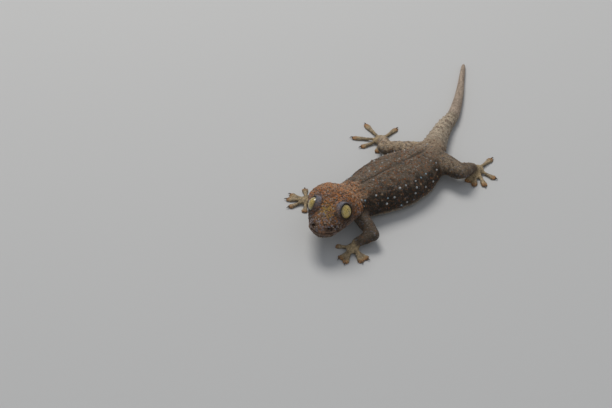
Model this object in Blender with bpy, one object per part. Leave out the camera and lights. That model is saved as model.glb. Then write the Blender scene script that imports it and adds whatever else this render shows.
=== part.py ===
# Life-size tokay gecko, resting on the floor with its head raised and turned to its left.
# Metres, +Z up. The trunk points along -Y, the gecko's left side is +X, the floor is z = 0.
# Flesh is lofted along the spine and the limbs, and parted with thin gaps at the joints.

import math
import random

import bmesh
import bpy
from mathutils import Matrix, Vector

MM = 0.001
GAP = 0.3 * MM
FLOOR = 0.0

# Driving dimensions, in millimetres where they are multiplied by MM below.
HEAD_LENGTH = 37.0
HEAD_WIDTH = 34.6
HEAD_HEIGHT = 18.8
HEAD_YAW = math.radians(24.0)
HEAD_PITCH = math.radians(-1.0)
HEAD_ROLL = math.radians(1.5)
HEAD_SKEW = 0.2
OCCIPUT = Vector((-3.4, -42.2, 10.6))
EYE_FORWARD = 19.6
EYE_SIDE = 8.1
EYE_UP = 13.0
EYE_RADIUS = 5.2
EYE_OPENING = 4.5
EYE_MOUND = 6.3
SNOUT_ROUNDING = 6.0
TRUNK_WIDTH = 42.6
TRUNK_HEIGHT = 20.6
BODY_SIDES = 28
HEAD_STEP = 1.7
LIP_RADIUS = 0.75
MOUTH_CORNER = 10.5
EAR_FORWARD = 6.4
EAR_UP = 8.2
EAR_SIZE = (2.2, 1.15, 2.0)
NOSTRIL_FORWARD = HEAD_LENGTH - 3.2
NOSTRIL_UP = 9.0
NOSTRIL_SIZE = (0.8, 0.6, 0.6)

# Tubercles: the rows' places round the body in degrees from its left side over the back, the step
# along a row, and the size of one cone, with how deep its root sinks.
TUBERCLE_ROWS = [12, 33, 55, 77, 103, 125, 147, 168]
TUBERCLE_STEP = 6.6
TUBERCLE_RADIUS = 1.45
TUBERCLE_HEIGHT = 0.62
TUBERCLE_ROOT = 0.4
TUBERCLE_EDGE = 1.8

# Spine stations from the tail tip to the shoulders: place on the floor plan, then the section there:
# half width and top as shares of the trunk's, and how far the underside sinks below the floor before
# it is trimmed flat.
SPINE = [
    ("tail_tip", -58.6, 146.6, 0.030, 0.085, -0.2),
    ("tail_end", -55.9, 142.6, 0.076, 0.160, -0.3),
    ("tail_thin", -46.6, 129.5, 0.104, 0.205, -0.4),
    ("tail_mid", -36.6, 115.2, 0.138, 0.262, -0.5),
    ("tail_thick", -28.0, 101.5, 0.170, 0.318, -0.6),
    ("regrowth", -21.4, 89.2, 0.204, 0.370, -0.7),
    ("stump", -17.2, 76.0, 0.262, 0.455, -0.8),
    ("tail_base", -11.6, 63.0, 0.318, 0.560, -0.9),
    ("vent", -5.6, 51.0, 0.400, 0.680, -1.0),
    ("hips", -0.4, 40.0, 0.540, 0.790, -1.2),
    ("loin", 2.4, 29.0, 0.735, 0.890, -1.5),
    ("belly_back", 2.4, 17.0, 0.940, 0.965, -2.0),
    ("belly", 1.4, 4.0, 1.020, 1.000, -2.2),
    ("belly_front", 0.1, -9.0, 0.950, 1.010, -2.0),
    ("ribs", -1.0, -20.0, 0.810, 1.015, -1.2),
    ("shoulders", -1.8, -29.0, 0.690, 1.030, -0.4),
    ("neck_root", -2.4, -36.0, 0.640, 1.080, 1.6),
]
STATION = {row[0]: i for i, row in enumerate(SPINE)}
TRUNK_NODES = [
    ("tail_base", "regrowth", "vent"),
    ("hips", "vent", "loin"),
    ("torso", "loin", "ribs"),
    ("chest", "ribs", "neck_root"),
]
WIDEST = 0.42
BELLY_SQUARENESS = 0.72
FLANK_FOLD = 0.7
FLANK_FOLD_ANGLE = -38.0

# The neck: how steeply it leaves the shoulders, how far each end keeps its own direction, rings.
NECK_RISE = 0.55
NECK_PULL = 0.4
NECK_STEPS = 5

# Head stations: distance forward of the occiput, half width, top, underside, height of the widest
# place, each as a share of the head's length, half width or height.
HEAD = [
    (0.00, 0.82, 0.92, 0.10, 0.43),
    (0.10, 0.95, 0.97, 0.08, 0.42),
    (0.20, 1.00, 1.00, 0.05, 0.41),
    (0.32, 0.95, 1.02, 0.02, 0.40),
    (0.44, 0.85, 1.01, 0.01, 0.39),
    (0.55, 0.74, 0.96, 0.01, 0.38),
    (0.67, 0.63, 0.84, 0.02, 0.38),
    (0.78, 0.54, 0.72, 0.03, 0.38),
    (0.89, 0.45, 0.62, 0.05, 0.38),
    (1.00, 0.36, 0.54, 0.08, 0.38),
]

# Limbs: root inside the body, elbow or knee, wrist or ankle; radii across and up at each.
LIMBS = {
    "arm_left": ([(6.0, -35.6, 7.6), (28.0, -45.2, 7.4), (21.8, -56.0, 4.2)], [5.0, 4.2, 2.9], 0.86),
    "arm_right": ([(-8.0, -34.0, 8.0), (-22.4, -28.6, 7.2), (-28.4, -40.6, 4.2)], [5.2, 4.2, 2.9], 0.86),
    "leg_left": ([(6.0, 39.0, 8.6), (27.6, 37.4, 10.4), (25.2, 53.6, 4.4)], [7.4, 5.9, 3.5], 0.86),
    "leg_right": ([(-7.0, 39.0, 8.2), (-25.6, 26.0, 8.2), (-37.0, 36.4, 4.2)], [7.0, 5.3, 3.4], 0.86),
}
LIMB_NODES = {
    "arm_left": ("upper_arm_left", "forearm_left", "hand_left"),
    "arm_right": ("upper_arm_right", "forearm_right", "hand_right"),
    "leg_left": ("thigh_left", "shin_left", "foot_left"),
    "leg_right": ("thigh_right", "shin_right", "foot_right"),
}
LIMB_SIDES = 16

# Feet: palm centre, palm radius, then for each toe from the first to the fifth its length and the way
# it points, in degrees from +X towards +Y. The first toe has no claw.
FEET = {
    "arm_left": ((22.6, -58.2), 4.2, [(11.0, 203), (12.0, 270), (14.0, 293), (13.5, 338), (13.0, 359)]),
    "arm_right": ((-30.4, -43.2), 4.2, [(11.0, 307), (12.5, 250), (13.0, 212), (13.0, 187), (13.5, 138)]),
    "leg_left": ((27.0, 56.0), 4.7, [(14.0, 279), (16.5, 302), (17.0, 327), (14.0, 8), (17.5, 95)]),
    "leg_right": ((-39.6, 37.6), 4.9, [(13.0, 300), (15.0, 249), (19.5, 211), (22.0, 160), (18.5, 96)]),
}
TOE_SIDES = 8
TOE_START = 2.2
TOE_PROFILE = [
    # share of the toe's length, half width, top, underside, all in millimetres
    (0.00, 1.40, 3.10, 0.50),
    (0.30, 1.10, 2.60, 0.50),
    (0.56, 1.45, 2.20, -0.20),
    (0.68, 2.05, 2.00, -0.50),
    (0.82, 2.35, 1.80, -0.50),
    (0.94, 2.00, 1.55, -0.50),
    (1.00, 1.00, 1.20, -0.20),
]
CLAW_LENGTH = 3.4
CLAW_RADIUS = 0.5
CLAW_HEIGHT = 1.15
CLAW_DROP = math.radians(10.0)

COLOURS = {
    # colour, roughness
    "head": ((0.36, 0.17, 0.08), 0.6),
    "body": ((0.20, 0.13, 0.08), 0.6),
    "limb": ((0.27, 0.21, 0.15), 0.6),
    "tail": ((0.36, 0.25, 0.18), 0.6),
    "eye": ((0.42, 0.38, 0.14), 0.12),
}


def clear_scene():
    for obj in list(bpy.data.objects):
        bpy.data.objects.remove(obj)


def collection(name):
    made = bpy.data.collections.new(name)
    bpy.context.scene.collection.children.link(made)
    return made


def material(name, kind):
    colour, roughness = COLOURS[kind]
    made = bpy.data.materials.new(name + "_skin")
    made.use_nodes = True
    shader = made.node_tree.nodes["Principled BSDF"]
    shader.inputs["Base Color"].default_value = (*colour, 1.0)
    shader.inputs["Roughness"].default_value = roughness
    shader.inputs["Metallic"].default_value = 0.0
    return made


def add_object(name, bm, home):
    """A bmesh in millimetres as an object in metres."""
    bmesh.ops.scale(bm, vec=(MM, MM, MM), verts=bm.verts)
    bmesh.ops.recalc_face_normals(bm, faces=bm.faces)
    mesh = bpy.data.meshes.new(name)
    bm.to_mesh(mesh)
    bm.free()
    obj = bpy.data.objects.new(name, mesh)
    home.objects.link(obj)
    return obj


def loft(rings):
    """A closed skin through rings of as many points each, with flat ends."""
    bm = bmesh.new()
    loops = [[bm.verts.new(p) for p in ring] for ring in rings]
    sides = len(rings[0])
    for a, b in zip(loops, loops[1:]):
        for i in range(sides):
            j = (i + 1) % sides
            bm.faces.new((a[i], a[j], b[j], b[i]))
    bm.faces.new(list(reversed(loops[0])))
    bm.faces.new(loops[-1])
    return bm


def power(value, exponent):
    return math.copysign(abs(value) ** exponent, value)


def spline(values, at):
    """Catmull-Rom through the values, read at a fractional index."""
    i = min(int(at), len(values) - 2)
    t = at - i
    p1, p2 = values[i], values[i + 1]
    p0 = values[i - 1] if i > 0 else 2 * p1 - p2
    p3 = values[i + 2] if i + 2 < len(values) else 2 * p2 - p1
    bend = 2 * p0 - 5 * p1 + 4 * p2 - p3
    twist = 3 * p1 - p0 - 3 * p2 + p3
    return 0.5 * (2 * p1 + (p2 - p0) * t + bend * t ** 2 + twist * t ** 3)


def spine_point(at):
    return Vector((spline([r[1] for r in SPINE], at), spline([r[2] for r in SPINE], at), 0.0))


def spine_heading(at):
    """The way from tail to head at a place along the spine."""
    last = len(SPINE) - 1
    back, ahead = max(at - 0.05, 0.0), min(at + 0.05, last)
    return (spine_point(ahead) - spine_point(back)).normalized()


def section(half_width, top, bottom, widest, squareness, grow, fold=0.0):
    """Side and height of each point round a body section. grow swells it evenly."""
    middle = bottom + (top - bottom) * widest
    points = []
    for i in range(BODY_SIDES):
        angle = 2 * math.pi * i / BODY_SIDES
        c, s = math.cos(angle), math.sin(angle)
        from_fold = math.degrees(math.asin(s)) - FLANK_FOLD_ANGLE
        ridge = fold * math.exp(-((from_fold / 9.0) ** 2))
        if s >= 0:
            side, up = power(c, 0.94), power(s, 0.94)
            height = middle + (top - middle + grow) * up
        else:
            side, up = power(c, squareness), power(s, 0.9)
            height = middle + (middle - bottom + grow) * up
        points.append(((half_width + grow + ridge) * side, height))
    return points


def spine_ring(at, grow=0.0, shift=0.0, trim=True):
    """The body's section at a place along the spine, moved forward by shift."""
    half_width = spline([r[3] for r in SPINE], at) * TRUNK_WIDTH / 2
    top = spline([r[4] for r in SPINE], at) * TRUNK_HEIGHT
    bottom = spline([r[5] for r in SPINE], at)
    heading = spine_heading(at)
    right = Vector((heading.y, -heading.x, 0.0))
    centre = spine_point(at) + heading * shift
    fold = FLANK_FOLD * max(0.0, 1 - abs(at - STATION["belly"]) / 3.5)
    points = []
    for side, height in section(half_width, top, bottom, WIDEST, BELLY_SQUARENESS, grow, fold):
        z = max(height, FLOOR) if trim else height
        points.append(centre - right * side + Vector((0, 0, z)))
    return points


def head_axes():
    """Forward, left and up of the head."""
    turn = Matrix.Rotation(HEAD_YAW, 3, "Z") @ Matrix.Rotation(HEAD_PITCH, 3, "X")
    turn = turn @ Matrix.Rotation(HEAD_ROLL, 3, "Y")
    return turn @ Vector((0, -1, 0)), turn @ Vector((1, 0, 0)), turn @ Vector((0, 0, 1))


def head_place(forward, side, up):
    ahead, left, above = head_axes()
    return OCCIPUT + ahead * forward + left * side + above * up


def head_size(forward):
    """Half width, top, underside and widest height of the head, in millimetres."""
    shares = [r[0] for r in HEAD]
    share = forward / HEAD_LENGTH
    i = max(k for k in range(len(shares)) if shares[k] <= share + 1e-9)
    i = min(i, len(shares) - 2)
    at = i + (share - shares[i]) / (shares[i + 1] - shares[i])
    half_width, top, bottom, widest = (spline([r[k] for r in HEAD], at) for k in (1, 2, 3, 4))
    half_width *= HEAD_WIDTH / 2
    top *= HEAD_HEIGHT
    bottom *= HEAD_HEIGHT
    middle = bottom + (top - bottom) * widest
    reach = (forward - (HEAD_LENGTH - SNOUT_ROUNDING)) / SNOUT_ROUNDING
    if reach > 0:
        shrink = math.sqrt(max(0.0, 1 - reach ** 2))
        half_width *= shrink
        top = middle + (top - middle) * (0.35 + 0.65 * shrink)
        bottom = middle - (middle - bottom) * (0.35 + 0.65 * shrink)
    return half_width, top, bottom, widest


def bump(value, middle, spread):
    return math.exp(-(((value - middle) / spread) ** 2))


def head_relief(forward, side, height):
    """How far the skull and jaw muscles push the head's skin out or in, in millimetres."""
    across = abs(side)
    furrow = -0.8 * bump(across, 0.0, 3.4) * bump(forward, 22.5, 5.0) * (height > 9.0)
    canthus = 0.55 * bump(across, 5.2, 1.8) * bump(forward, 28.5, 3.6) * (height > 9.0)
    cheek_hollow = -0.6 * bump(height, 9.4, 2.0) * bump(forward, 28.5, 4.0) * (across > 5.0)
    jaw_muscle = 0.7 * bump(forward, 7.5, 4.2) * bump(height, 9.0, 4.5) * (across > 9.0)
    crown = 0.5 * bump(across, 6.5, 3.0) * bump(forward, 9.5, 4.5) * (height > 12.0)
    return furrow + canthus + cheek_hollow + jaw_muscle + crown


def head_ring(forward, grow=0.0, shift=0.0):
    half_width, top, bottom, widest = head_size(forward)
    skew = HEAD_SKEW * max(0.0, 1 - forward / 10.0)
    points = []
    for side, height in section(half_width, top, bottom, widest, 0.82, grow):
        middle = Vector((0.0, bottom + (top - bottom) * widest))
        push = (Vector((side, height)) - middle).normalized() * head_relief(forward, side, height)
        points.append(head_place(forward + shift + side * skew, side + push.x, height + push.y))
    return points


def neck_rings(grow=0.0, gap=0.0, trim=True):
    """Rings that run smoothly from the shoulders' front into the back of the head."""
    last = len(SPINE) - 1
    first_ring = spine_ring(last, grow, gap / 2, trim=False)
    end_ring = head_ring(0.0, grow, -gap / 2)
    leave = spine_heading(last)
    arrive = head_axes()[0]
    leave = Vector((leave.x, leave.y, NECK_RISE)).normalized()
    rings = []
    for k in range(NECK_STEPS + 1):
        t = k / NECK_STEPS
        ring = []
        for a, b in zip(first_ring, end_ring):
            pull = (b - a).length * NECK_PULL
            p = (
                a * (2 * t ** 3 - 3 * t ** 2 + 1)
                + leave * pull * (t ** 3 - 2 * t ** 2 + t)
                + b * (3 * t ** 2 - 2 * t ** 3)
                + arrive * pull * (t ** 3 - t ** 2)
            )
            if trim:
                p.z = max(p.z, FLOOR)
            ring.append(p)
        rings.append(ring)
    return rings


def body_length(name, first, last, home, step=0.34):
    """One length of the body between two stations, its ends half a gap short of its neighbours."""
    start, end = STATION[first], STATION[last]
    count = max(2, round((end - start) / step))
    rings = []
    for k in range(count + 1):
        at = start + (end - start) * k / count
        shift = GAP / MM / 2 * (1 if k == 0 and start > 0 else -1 if k == count else 0)
        rings.append(spine_ring(at, shift=shift))
    return add_object(name, loft(rings), home)


def spine_length_to(at):
    """Length of the spine from its start to a place, in millimetres."""
    steps = max(1, round(at * 12))
    total, before = 0.0, spine_point(0.0)
    for k in range(1, steps + 1):
        here = spine_point(at * k / steps)
        total += (here - before).length
        before = here
    return total


def skin_spot(at, degrees):
    """A point on the body's skin and the way out of it there."""
    ring, ahead = spine_ring(at), spine_ring(min(at + 0.05, len(SPINE) - 1.0))
    behind = spine_ring(at - 0.05)
    share = degrees / 360 * BODY_SIDES
    i = int(share)
    t = share - i
    j = (i + 1) % BODY_SIDES
    point = ring[i].lerp(ring[j], t)
    along = ahead[i].lerp(ahead[j], t) - behind[i].lerp(behind[j], t)
    out = (ring[j] - ring[i]).cross(along).normalized()
    centre = spine_point(at) + Vector((0, 0, TRUNK_HEIGHT * 0.3))
    return point, out if out.dot(point - centre) > 0 else -out


def under_limb(point):
    """Whether a limb grows from the body at this point."""
    for points, radii, flatness in LIMBS.values():
        root, bend = Vector(points[0]), Vector(points[1])
        along = bend - root
        t = min(max((point - root).dot(along) / along.length_squared, 0.0), 1.0)
        thick = radii[0] + (radii[1] - radii[0]) * t
        if (point - root - along * t).length < thick + TUBERCLE_RADIUS:
            return True
    return False


def grow_tubercles(node, first, last, home, draw):
    """Rows of low cones along the back and flanks, staggered from row to row and a little uneven."""
    start, end = STATION[first], STATION[last]
    spots = [start + (end - start) * k / 60 for k in range(61)]
    lengths = [spine_length_to(at) for at in spots]
    pieces = [node]
    for row, degrees in enumerate(TUBERCLE_ROWS):
        number = math.ceil((lengths[0] + 2.0) / TUBERCLE_STEP - 0.5 * (row % 2))
        while True:
            where = (number + 0.5 * (row % 2)) * TUBERCLE_STEP + draw.uniform(-0.6, 0.6)
            if where > lengths[-1] - TUBERCLE_EDGE:
                break
            number += 1
            if where < lengths[0] + TUBERCLE_EDGE:
                continue
            k = max(i for i in range(60) if lengths[i] <= where)
            at = spots[k] + (spots[k + 1] - spots[k]) * (where - lengths[k]) / (lengths[k + 1] - lengths[k])
            point, out = skin_spot(at, degrees + draw.uniform(-3, 3))
            girth = spline([r[3] for r in SPINE], at)
            if girth < 0.45 and row % 2 or under_limb(point):
                continue
            size = (0.62 + 0.38 * min(1.0, girth)) * draw.uniform(0.85, 1.15)
            bm = bmesh.new()
            depth = TUBERCLE_HEIGHT * size + TUBERCLE_ROOT
            bmesh.ops.create_cone(
                bm, cap_ends=True, segments=5, radius1=TUBERCLE_RADIUS * size, radius2=0.08, depth=depth
            )
            centre = point + out * (depth / 2 - TUBERCLE_ROOT)
            turn = Matrix.Rotation(draw.uniform(0, 1.2), 4, "Z")
            place = Matrix.Translation(centre) @ out.to_track_quat("Z", "Y").to_matrix().to_4x4() @ turn
            bmesh.ops.transform(bm, matrix=place, verts=bm.verts)
            pieces.append(add_object("tubercle", bm, home))
    return fuse(node.name, pieces, home)


def body_space(nodes, home):
    """The given nodes, each a gap larger all round and joined: it trims what grows from the body."""
    pieces = []
    for node in nodes:
        bm = bmesh.new()
        bm.from_mesh(node.data)
        bm.normal_update()
        moves = [vert.normal * GAP * vert.calc_shell_factor() * 1.1 for vert in bm.verts]
        for vert, move in zip(bm.verts, moves):
            vert.co += move
        mesh = bpy.data.meshes.new("space_" + node.name)
        bm.to_mesh(mesh)
        bm.free()
        obj = bpy.data.objects.new(mesh.name, mesh)
        home.objects.link(obj)
        pieces.append(obj)
    return fuse("body_space", pieces, home)


def evaluated_mesh(obj):
    bpy.context.view_layer.update()
    graph = bpy.context.evaluated_depsgraph_get()
    return bpy.data.meshes.new_from_object(obj.evaluated_get(graph))


def boolean(obj, operation, other, solver="MANIFOLD"):
    """Applies one Boolean with an object or a collection."""
    modifier = obj.modifiers.new(operation.lower(), "BOOLEAN")
    modifier.operation = operation
    modifier.solver = solver
    if isinstance(other, bpy.types.Collection):
        modifier.operand_type = "COLLECTION"
        modifier.collection = other
    else:
        modifier.object = other
    mesh = evaluated_mesh(obj)
    obj.modifiers.clear()
    old = obj.data
    obj.data = mesh
    bpy.data.meshes.remove(old)


def keep_largest(obj):
    """Drops loose scraps and sealed hollows: only the closed surface of most volume stays."""
    bm = bmesh.new()
    bm.from_mesh(obj.data)
    seen = set()
    shells = []
    for vert in bm.verts:
        if vert in seen:
            continue
        shell, queue = [], [vert]
        seen.add(vert)
        while queue:
            v = queue.pop()
            shell.append(v)
            for edge in v.link_edges:
                other = edge.other_vert(v)
                if other not in seen:
                    seen.add(other)
                    queue.append(other)
        shells.append(shell)

    def extent(shell):
        xs, ys, zs = zip(*(v.co for v in shell))
        return (max(xs) - min(xs)) * (max(ys) - min(ys)) * (max(zs) - min(zs))

    shells.sort(key=extent)
    bmesh.ops.delete(bm, geom=[v for shell in shells[:-1] for v in shell], context="VERTS")
    bmesh.ops.remove_doubles(bm, verts=bm.verts, dist=0.002 * MM)
    bm.to_mesh(obj.data)
    bm.free()


def fuse(name, pieces, home, cutters=(), solver="MANIFOLD"):
    """Joins closed pieces into one body, then cuts it."""
    base, rest = pieces[0], pieces[1:]
    if rest:
        group = collection("fusing_" + name)
        for piece in rest:
            for used in list(piece.users_collection):
                used.objects.unlink(piece)
            group.objects.link(piece)
        boolean(base, "UNION", group, solver)
        for piece in rest:
            bpy.data.objects.remove(piece)
        bpy.data.collections.remove(group)
    for cutter in cutters:
        boolean(base, "DIFFERENCE", cutter, solver)
    keep_largest(base)
    base.name = name
    base.data.name = name
    return base


def plane_cut(obj, point, outward):
    """Cuts off what lies beyond a plane and closes the cut. Point in millimetres."""
    bm = bmesh.new()
    bm.from_mesh(obj.data)
    geometry = bm.verts[:] + bm.edges[:] + bm.faces[:]
    cut = bmesh.ops.bisect_plane(bm, geom=geometry, plane_co=point * MM, plane_no=outward, clear_outer=True)
    edges = [e for e in cut["geom_cut"] if isinstance(e, bmesh.types.BMEdge)]
    bmesh.ops.contextual_create(bm, geom=edges)
    bmesh.ops.recalc_face_normals(bm, faces=bm.faces)
    bm.to_mesh(obj.data)
    bm.free()


def limb_rings(start, end, radius_start, radius_end, flatness, swell, over_start, over_end):
    """Oval rings along one straight limb segment, with rounded ends that run past its joints."""
    axis = (end - start).normalized()
    length = (end - start).length
    level = axis.cross(Vector((0, 0, 1))).normalized()
    lift = level.cross(axis).normalized()
    places = []
    for k in range(3):
        a = math.pi / 2 * k / 3
        places.append((-over_start * math.cos(a), math.sin(a) * 0.96 + 0.04))
    for k in range(6):
        places.append((length * k / 5, 1.0))
    for k in range(1, 4):
        a = math.pi / 2 * k / 3
        places.append((length + over_end * math.sin(a), math.cos(a) * 0.96 + 0.04))
    rings = []
    for along, close in places:
        t = min(max(along / length, 0.0), 1.0)
        radius = radius_start + (radius_end - radius_start) * t + swell * math.sin(math.pi * t)
        ring = []
        for i in range(LIMB_SIDES):
            angle = 2 * math.pi * i / LIMB_SIDES
            ring.append(
                start
                + axis * along
                + level * (radius * close * math.cos(angle))
                + lift * (radius * flatness * close * math.sin(angle))
            )
        rings.append(ring)
    return rings


def limb(key, home, cutters, body):
    """Upper and lower segment of one limb, and its foot, parted by thin cuts at the joints."""
    points, radii, flatness = LIMBS[key]
    root, bend, end = (Vector(p) for p in points)
    upper_name, lower_name, foot_name = LIMB_NODES[key]
    upper_axis = (bend - root).normalized()
    lower_axis = (end - bend).normalized()
    across = (upper_axis + lower_axis).normalized()
    half_gap = GAP / MM / 2
    over = radii[1]
    thick = limb_rings(root, bend, radii[0], radii[1], flatness, 0.5, 1.0, over)
    upper = add_object(upper_name, loft(thick), home)
    plane_cut(upper, bend - across * half_gap, across)
    boolean(upper, "DIFFERENCE", body)
    keep_largest(upper)
    thin = limb_rings(bend, end, radii[1], radii[2], flatness, 0.6, over, 1.5)
    lower = add_object(lower_name, loft(thin), home)
    plane_cut(lower, bend + across * half_gap, -across)
    plane_cut(lower, end - lower_axis * half_gap, lower_axis)
    gap = GAP / MM
    swollen = limb_rings(bend, end, radii[1] + gap, radii[2] + gap, flatness, 0.6, over, 1.5)
    space = add_object("space_" + lower_name, loft(swollen), cutters["home"])
    plane_cut(space, end + lower_axis * half_gap, lower_axis)
    wrist = end + lower_axis * half_gap
    make_foot(key, foot_name, wrist, lower_axis, radii[2], flatness, home, cutters, space)


def toe(place, direction, length, home, claw):
    """One toe with its widened pad, and its claw."""
    along = Vector((math.cos(direction), math.sin(direction), 0.0))
    left = Vector((-along.y, along.x, 0.0))
    rings = []
    for share, half_width, top, bottom in TOE_PROFILE:
        middle, half_height = (top + bottom) / 2, (top - bottom) / 2
        ring = []
        for i in range(TOE_SIDES):
            angle = 2 * math.pi * i / TOE_SIDES
            side = power(math.cos(angle), 0.85) * half_width
            up = Vector((0, 0, middle + half_height * math.sin(angle)))
            ring.append(place + along * (length * share) + left * side + up)
        rings.append(ring)
    pieces = [add_object("toe", loft(rings), home)]
    if claw:
        bm = bmesh.new()
        bmesh.ops.create_cone(
            bm, cap_ends=True, segments=5, radius1=CLAW_RADIUS, radius2=0.05, depth=CLAW_LENGTH
        )
        turn = along.to_track_quat("Z", "Y").to_matrix().to_4x4()
        drop = Matrix.Rotation(CLAW_DROP, 4, left)
        centre = place + along * (length + 0.35) + Vector((0, 0, CLAW_HEIGHT))
        bmesh.ops.transform(bm, matrix=Matrix.Translation(centre) @ drop @ turn, verts=bm.verts)
        pieces.append(add_object("claw", bm, home))
    return pieces


def make_foot(key, name, wrist, axis, radius, flatness, home, cutters, shin_space):
    """Palm, wrist stub and five toes joined, standing flat on the floor."""
    (x, y), palm_radius, toes = FEET[key]
    centre = Vector((x, y, 0.0))
    bm = bmesh.new()
    bmesh.ops.create_uvsphere(bm, u_segments=12, v_segments=7, radius=1.0)
    bmesh.ops.scale(bm, vec=(palm_radius, palm_radius, 2.5), verts=bm.verts)
    bmesh.ops.translate(bm, vec=centre + Vector((0, 0, 1.9)), verts=bm.verts)
    pieces = [add_object(name, bm, home)]
    level = axis.cross(Vector((0, 0, 1))).normalized()
    lift = level.cross(axis).normalized()
    goal = centre + Vector((0, 0, 1.6))
    rings = []
    for t, scale in ((0.0, 1.0), (0.5, 0.95), (1.0, 0.55)):
        ring = []
        for i in range(LIMB_SIDES):
            angle = 2 * math.pi * i / LIMB_SIDES
            wide, high = radius * scale, radius * scale * flatness
            spread = level * (wide * math.cos(angle)) + lift * (high * math.sin(angle))
            ring.append(wrist.lerp(goal, t) + spread)
        rings.append(ring)
    pieces.append(add_object("wrist", loft(rings), home))
    for number, (length, degrees) in enumerate(toes):
        way = math.radians(degrees)
        root = centre + Vector((math.cos(way), math.sin(way), 0.0)) * TOE_START
        pieces += toe(root, way, length - TOE_START, home, claw=number > 0)
    return fuse(name, pieces, home, [cutters["floor"], shin_space])


def half_width_at(forward, height):
    """The head's half width at a height, by its section's own formula."""
    half_width, top, bottom, widest = head_size(forward)
    middle = bottom + (top - bottom) * widest
    if height >= middle:
        s = min(((height - middle) / (top - middle)) ** (1 / 0.94), 1.0)
        return half_width * math.sqrt(1 - s * s) ** 0.94
    s = min(((middle - height) / (middle - bottom)) ** (1 / 0.9), 1.0)
    return half_width * math.sqrt(1 - s * s) ** 0.82


def mouth_height(forward):
    """The mouth line's height in the head: level at the snout, a dip under the eye, up at the corner."""
    t = (forward - MOUTH_CORNER) / (HEAD_LENGTH - MOUTH_CORNER)
    return 5.6 + 0.9 * (t - 0.45) ** 2 * 4


def jaw_prism(name, grow, home):
    """The space of the lower jaw: below the mouth line and ahead of its corner, across the whole head."""
    outline = []
    for k in range(13):
        forward = MOUTH_CORNER + (HEAD_LENGTH + 3 - MOUTH_CORNER) * k / 12
        outline.append((forward, mouth_height(forward) + grow))
    outline[0] = (MOUTH_CORNER - grow, outline[0][1])
    outline.append((HEAD_LENGTH + 3, -4.0))
    outline.append((MOUTH_CORNER - 2.5 - grow, -4.0))
    bm = bmesh.new()
    rows = []
    for side in (-25.0, 25.0):
        rows.append([bm.verts.new(head_place(f, side, u)) for f, u in outline])
    count = len(outline)
    for i in range(count):
        j = (i + 1) % count
        bm.faces.new((rows[0][i], rows[0][j], rows[1][j], rows[1][i]))
    bm.faces.new(rows[0])
    bm.faces.new(list(reversed(rows[1])))
    return add_object(name, bm, home)


def lip(name, drop, home):
    """A lip: a thin roll along the mouth line, from one corner round the snout to the other."""
    route = []
    count = 11
    start, stop = MOUTH_CORNER + 1.2, HEAD_LENGTH - 0.9
    for k in range(count):
        forward = start + (stop - start) * math.sin(math.pi / 2 * k / (count - 1))
        height = mouth_height(forward) + drop
        route.append((forward, half_width_at(forward, height) - 0.35, height))
    left = [head_place(f, s, u) for f, s, u in route]
    right = [head_place(f, -s, u) for f, s, u in route]
    front = head_place(HEAD_LENGTH - 0.35, 0.0, mouth_height(HEAD_LENGTH) + drop)
    points = left + [front] + list(reversed(right))
    curve = bpy.data.curves.new(name, "CURVE")
    curve.dimensions = "3D"
    curve.bevel_depth = LIP_RADIUS * MM
    curve.bevel_resolution = 1
    curve.use_fill_caps = True
    line = curve.splines.new("POLY")
    line.points.add(len(points) - 1)
    last = len(points) - 1
    for k, (spot, p) in enumerate(zip(line.points, points)):
        spot.co = (*(p * MM), 1.0)
        spot.radius = min(1.0, 0.35 + 0.25 * min(k, last - k))
    tube = bpy.data.objects.new(name, curve)
    home.objects.link(tube)
    bpy.context.view_layer.update()
    mesh = evaluated_mesh(tube)
    bm = bmesh.new()
    bm.from_mesh(mesh)
    bmesh.ops.remove_doubles(bm, verts=bm.verts, dist=0.01 * MM)
    bmesh.ops.recalc_face_normals(bm, faces=bm.faces)
    bm.to_mesh(mesh)
    bm.free()
    bpy.data.objects.remove(tube)
    obj = bpy.data.objects.new(name, mesh)
    home.objects.link(obj)
    return obj


def ball(name, place, radii, home, segments=20, rings=12, turn=None):
    bm = bmesh.new()
    bmesh.ops.create_uvsphere(bm, u_segments=segments, v_segments=rings, radius=1.0)
    bmesh.ops.scale(bm, vec=radii, verts=bm.verts)
    if turn is not None:
        bmesh.ops.rotate(bm, matrix=turn, verts=bm.verts)
    bmesh.ops.translate(bm, vec=place, verts=bm.verts)
    return add_object(name, bm, home)


def head_turn():
    """Matrix whose columns are the head's left, back and up, for shapes made on the world axes."""
    ahead, left, above = head_axes()
    return Matrix((left, -ahead, above)).transposed()


def eye_look(side):
    """The way an eye faces: sideways, a little forward and up."""
    ahead, left, above = head_axes()
    return (left * side * 0.86 + ahead * 0.30 + above * 0.42).normalized()


def eye_mound(side, home):
    """The bulge of skin over the eyeball, open where the eye shows, and the raised rim of the opening."""
    centre = head_place(EYE_FORWARD, side * EYE_SIDE, EYE_UP)
    look = eye_look(side)
    reach = math.sqrt(EYE_RADIUS ** 2 - EYE_OPENING ** 2)
    mound = ball("mound", centre, (EYE_MOUND,) * 3, home, 18, 12, look.to_track_quat("Z", "Y").to_matrix())
    plane_cut(mound, centre + look * (reach + 0.35), look)
    rim_radius = EYE_OPENING + 0.85
    bpy.ops.mesh.primitive_torus_add(
        major_radius=rim_radius * MM, minor_radius=0.72 * MM, major_segments=20, minor_segments=6
    )
    torus = bpy.context.object
    for used in list(torus.users_collection):
        used.objects.unlink(torus)
    home.objects.link(torus)
    place = Matrix.Translation((centre + look * (reach + 0.2)) * MM)
    torus.data.transform(place @ look.to_track_quat("Z", "Y").to_matrix().to_4x4())
    return [mound, torus]


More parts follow.
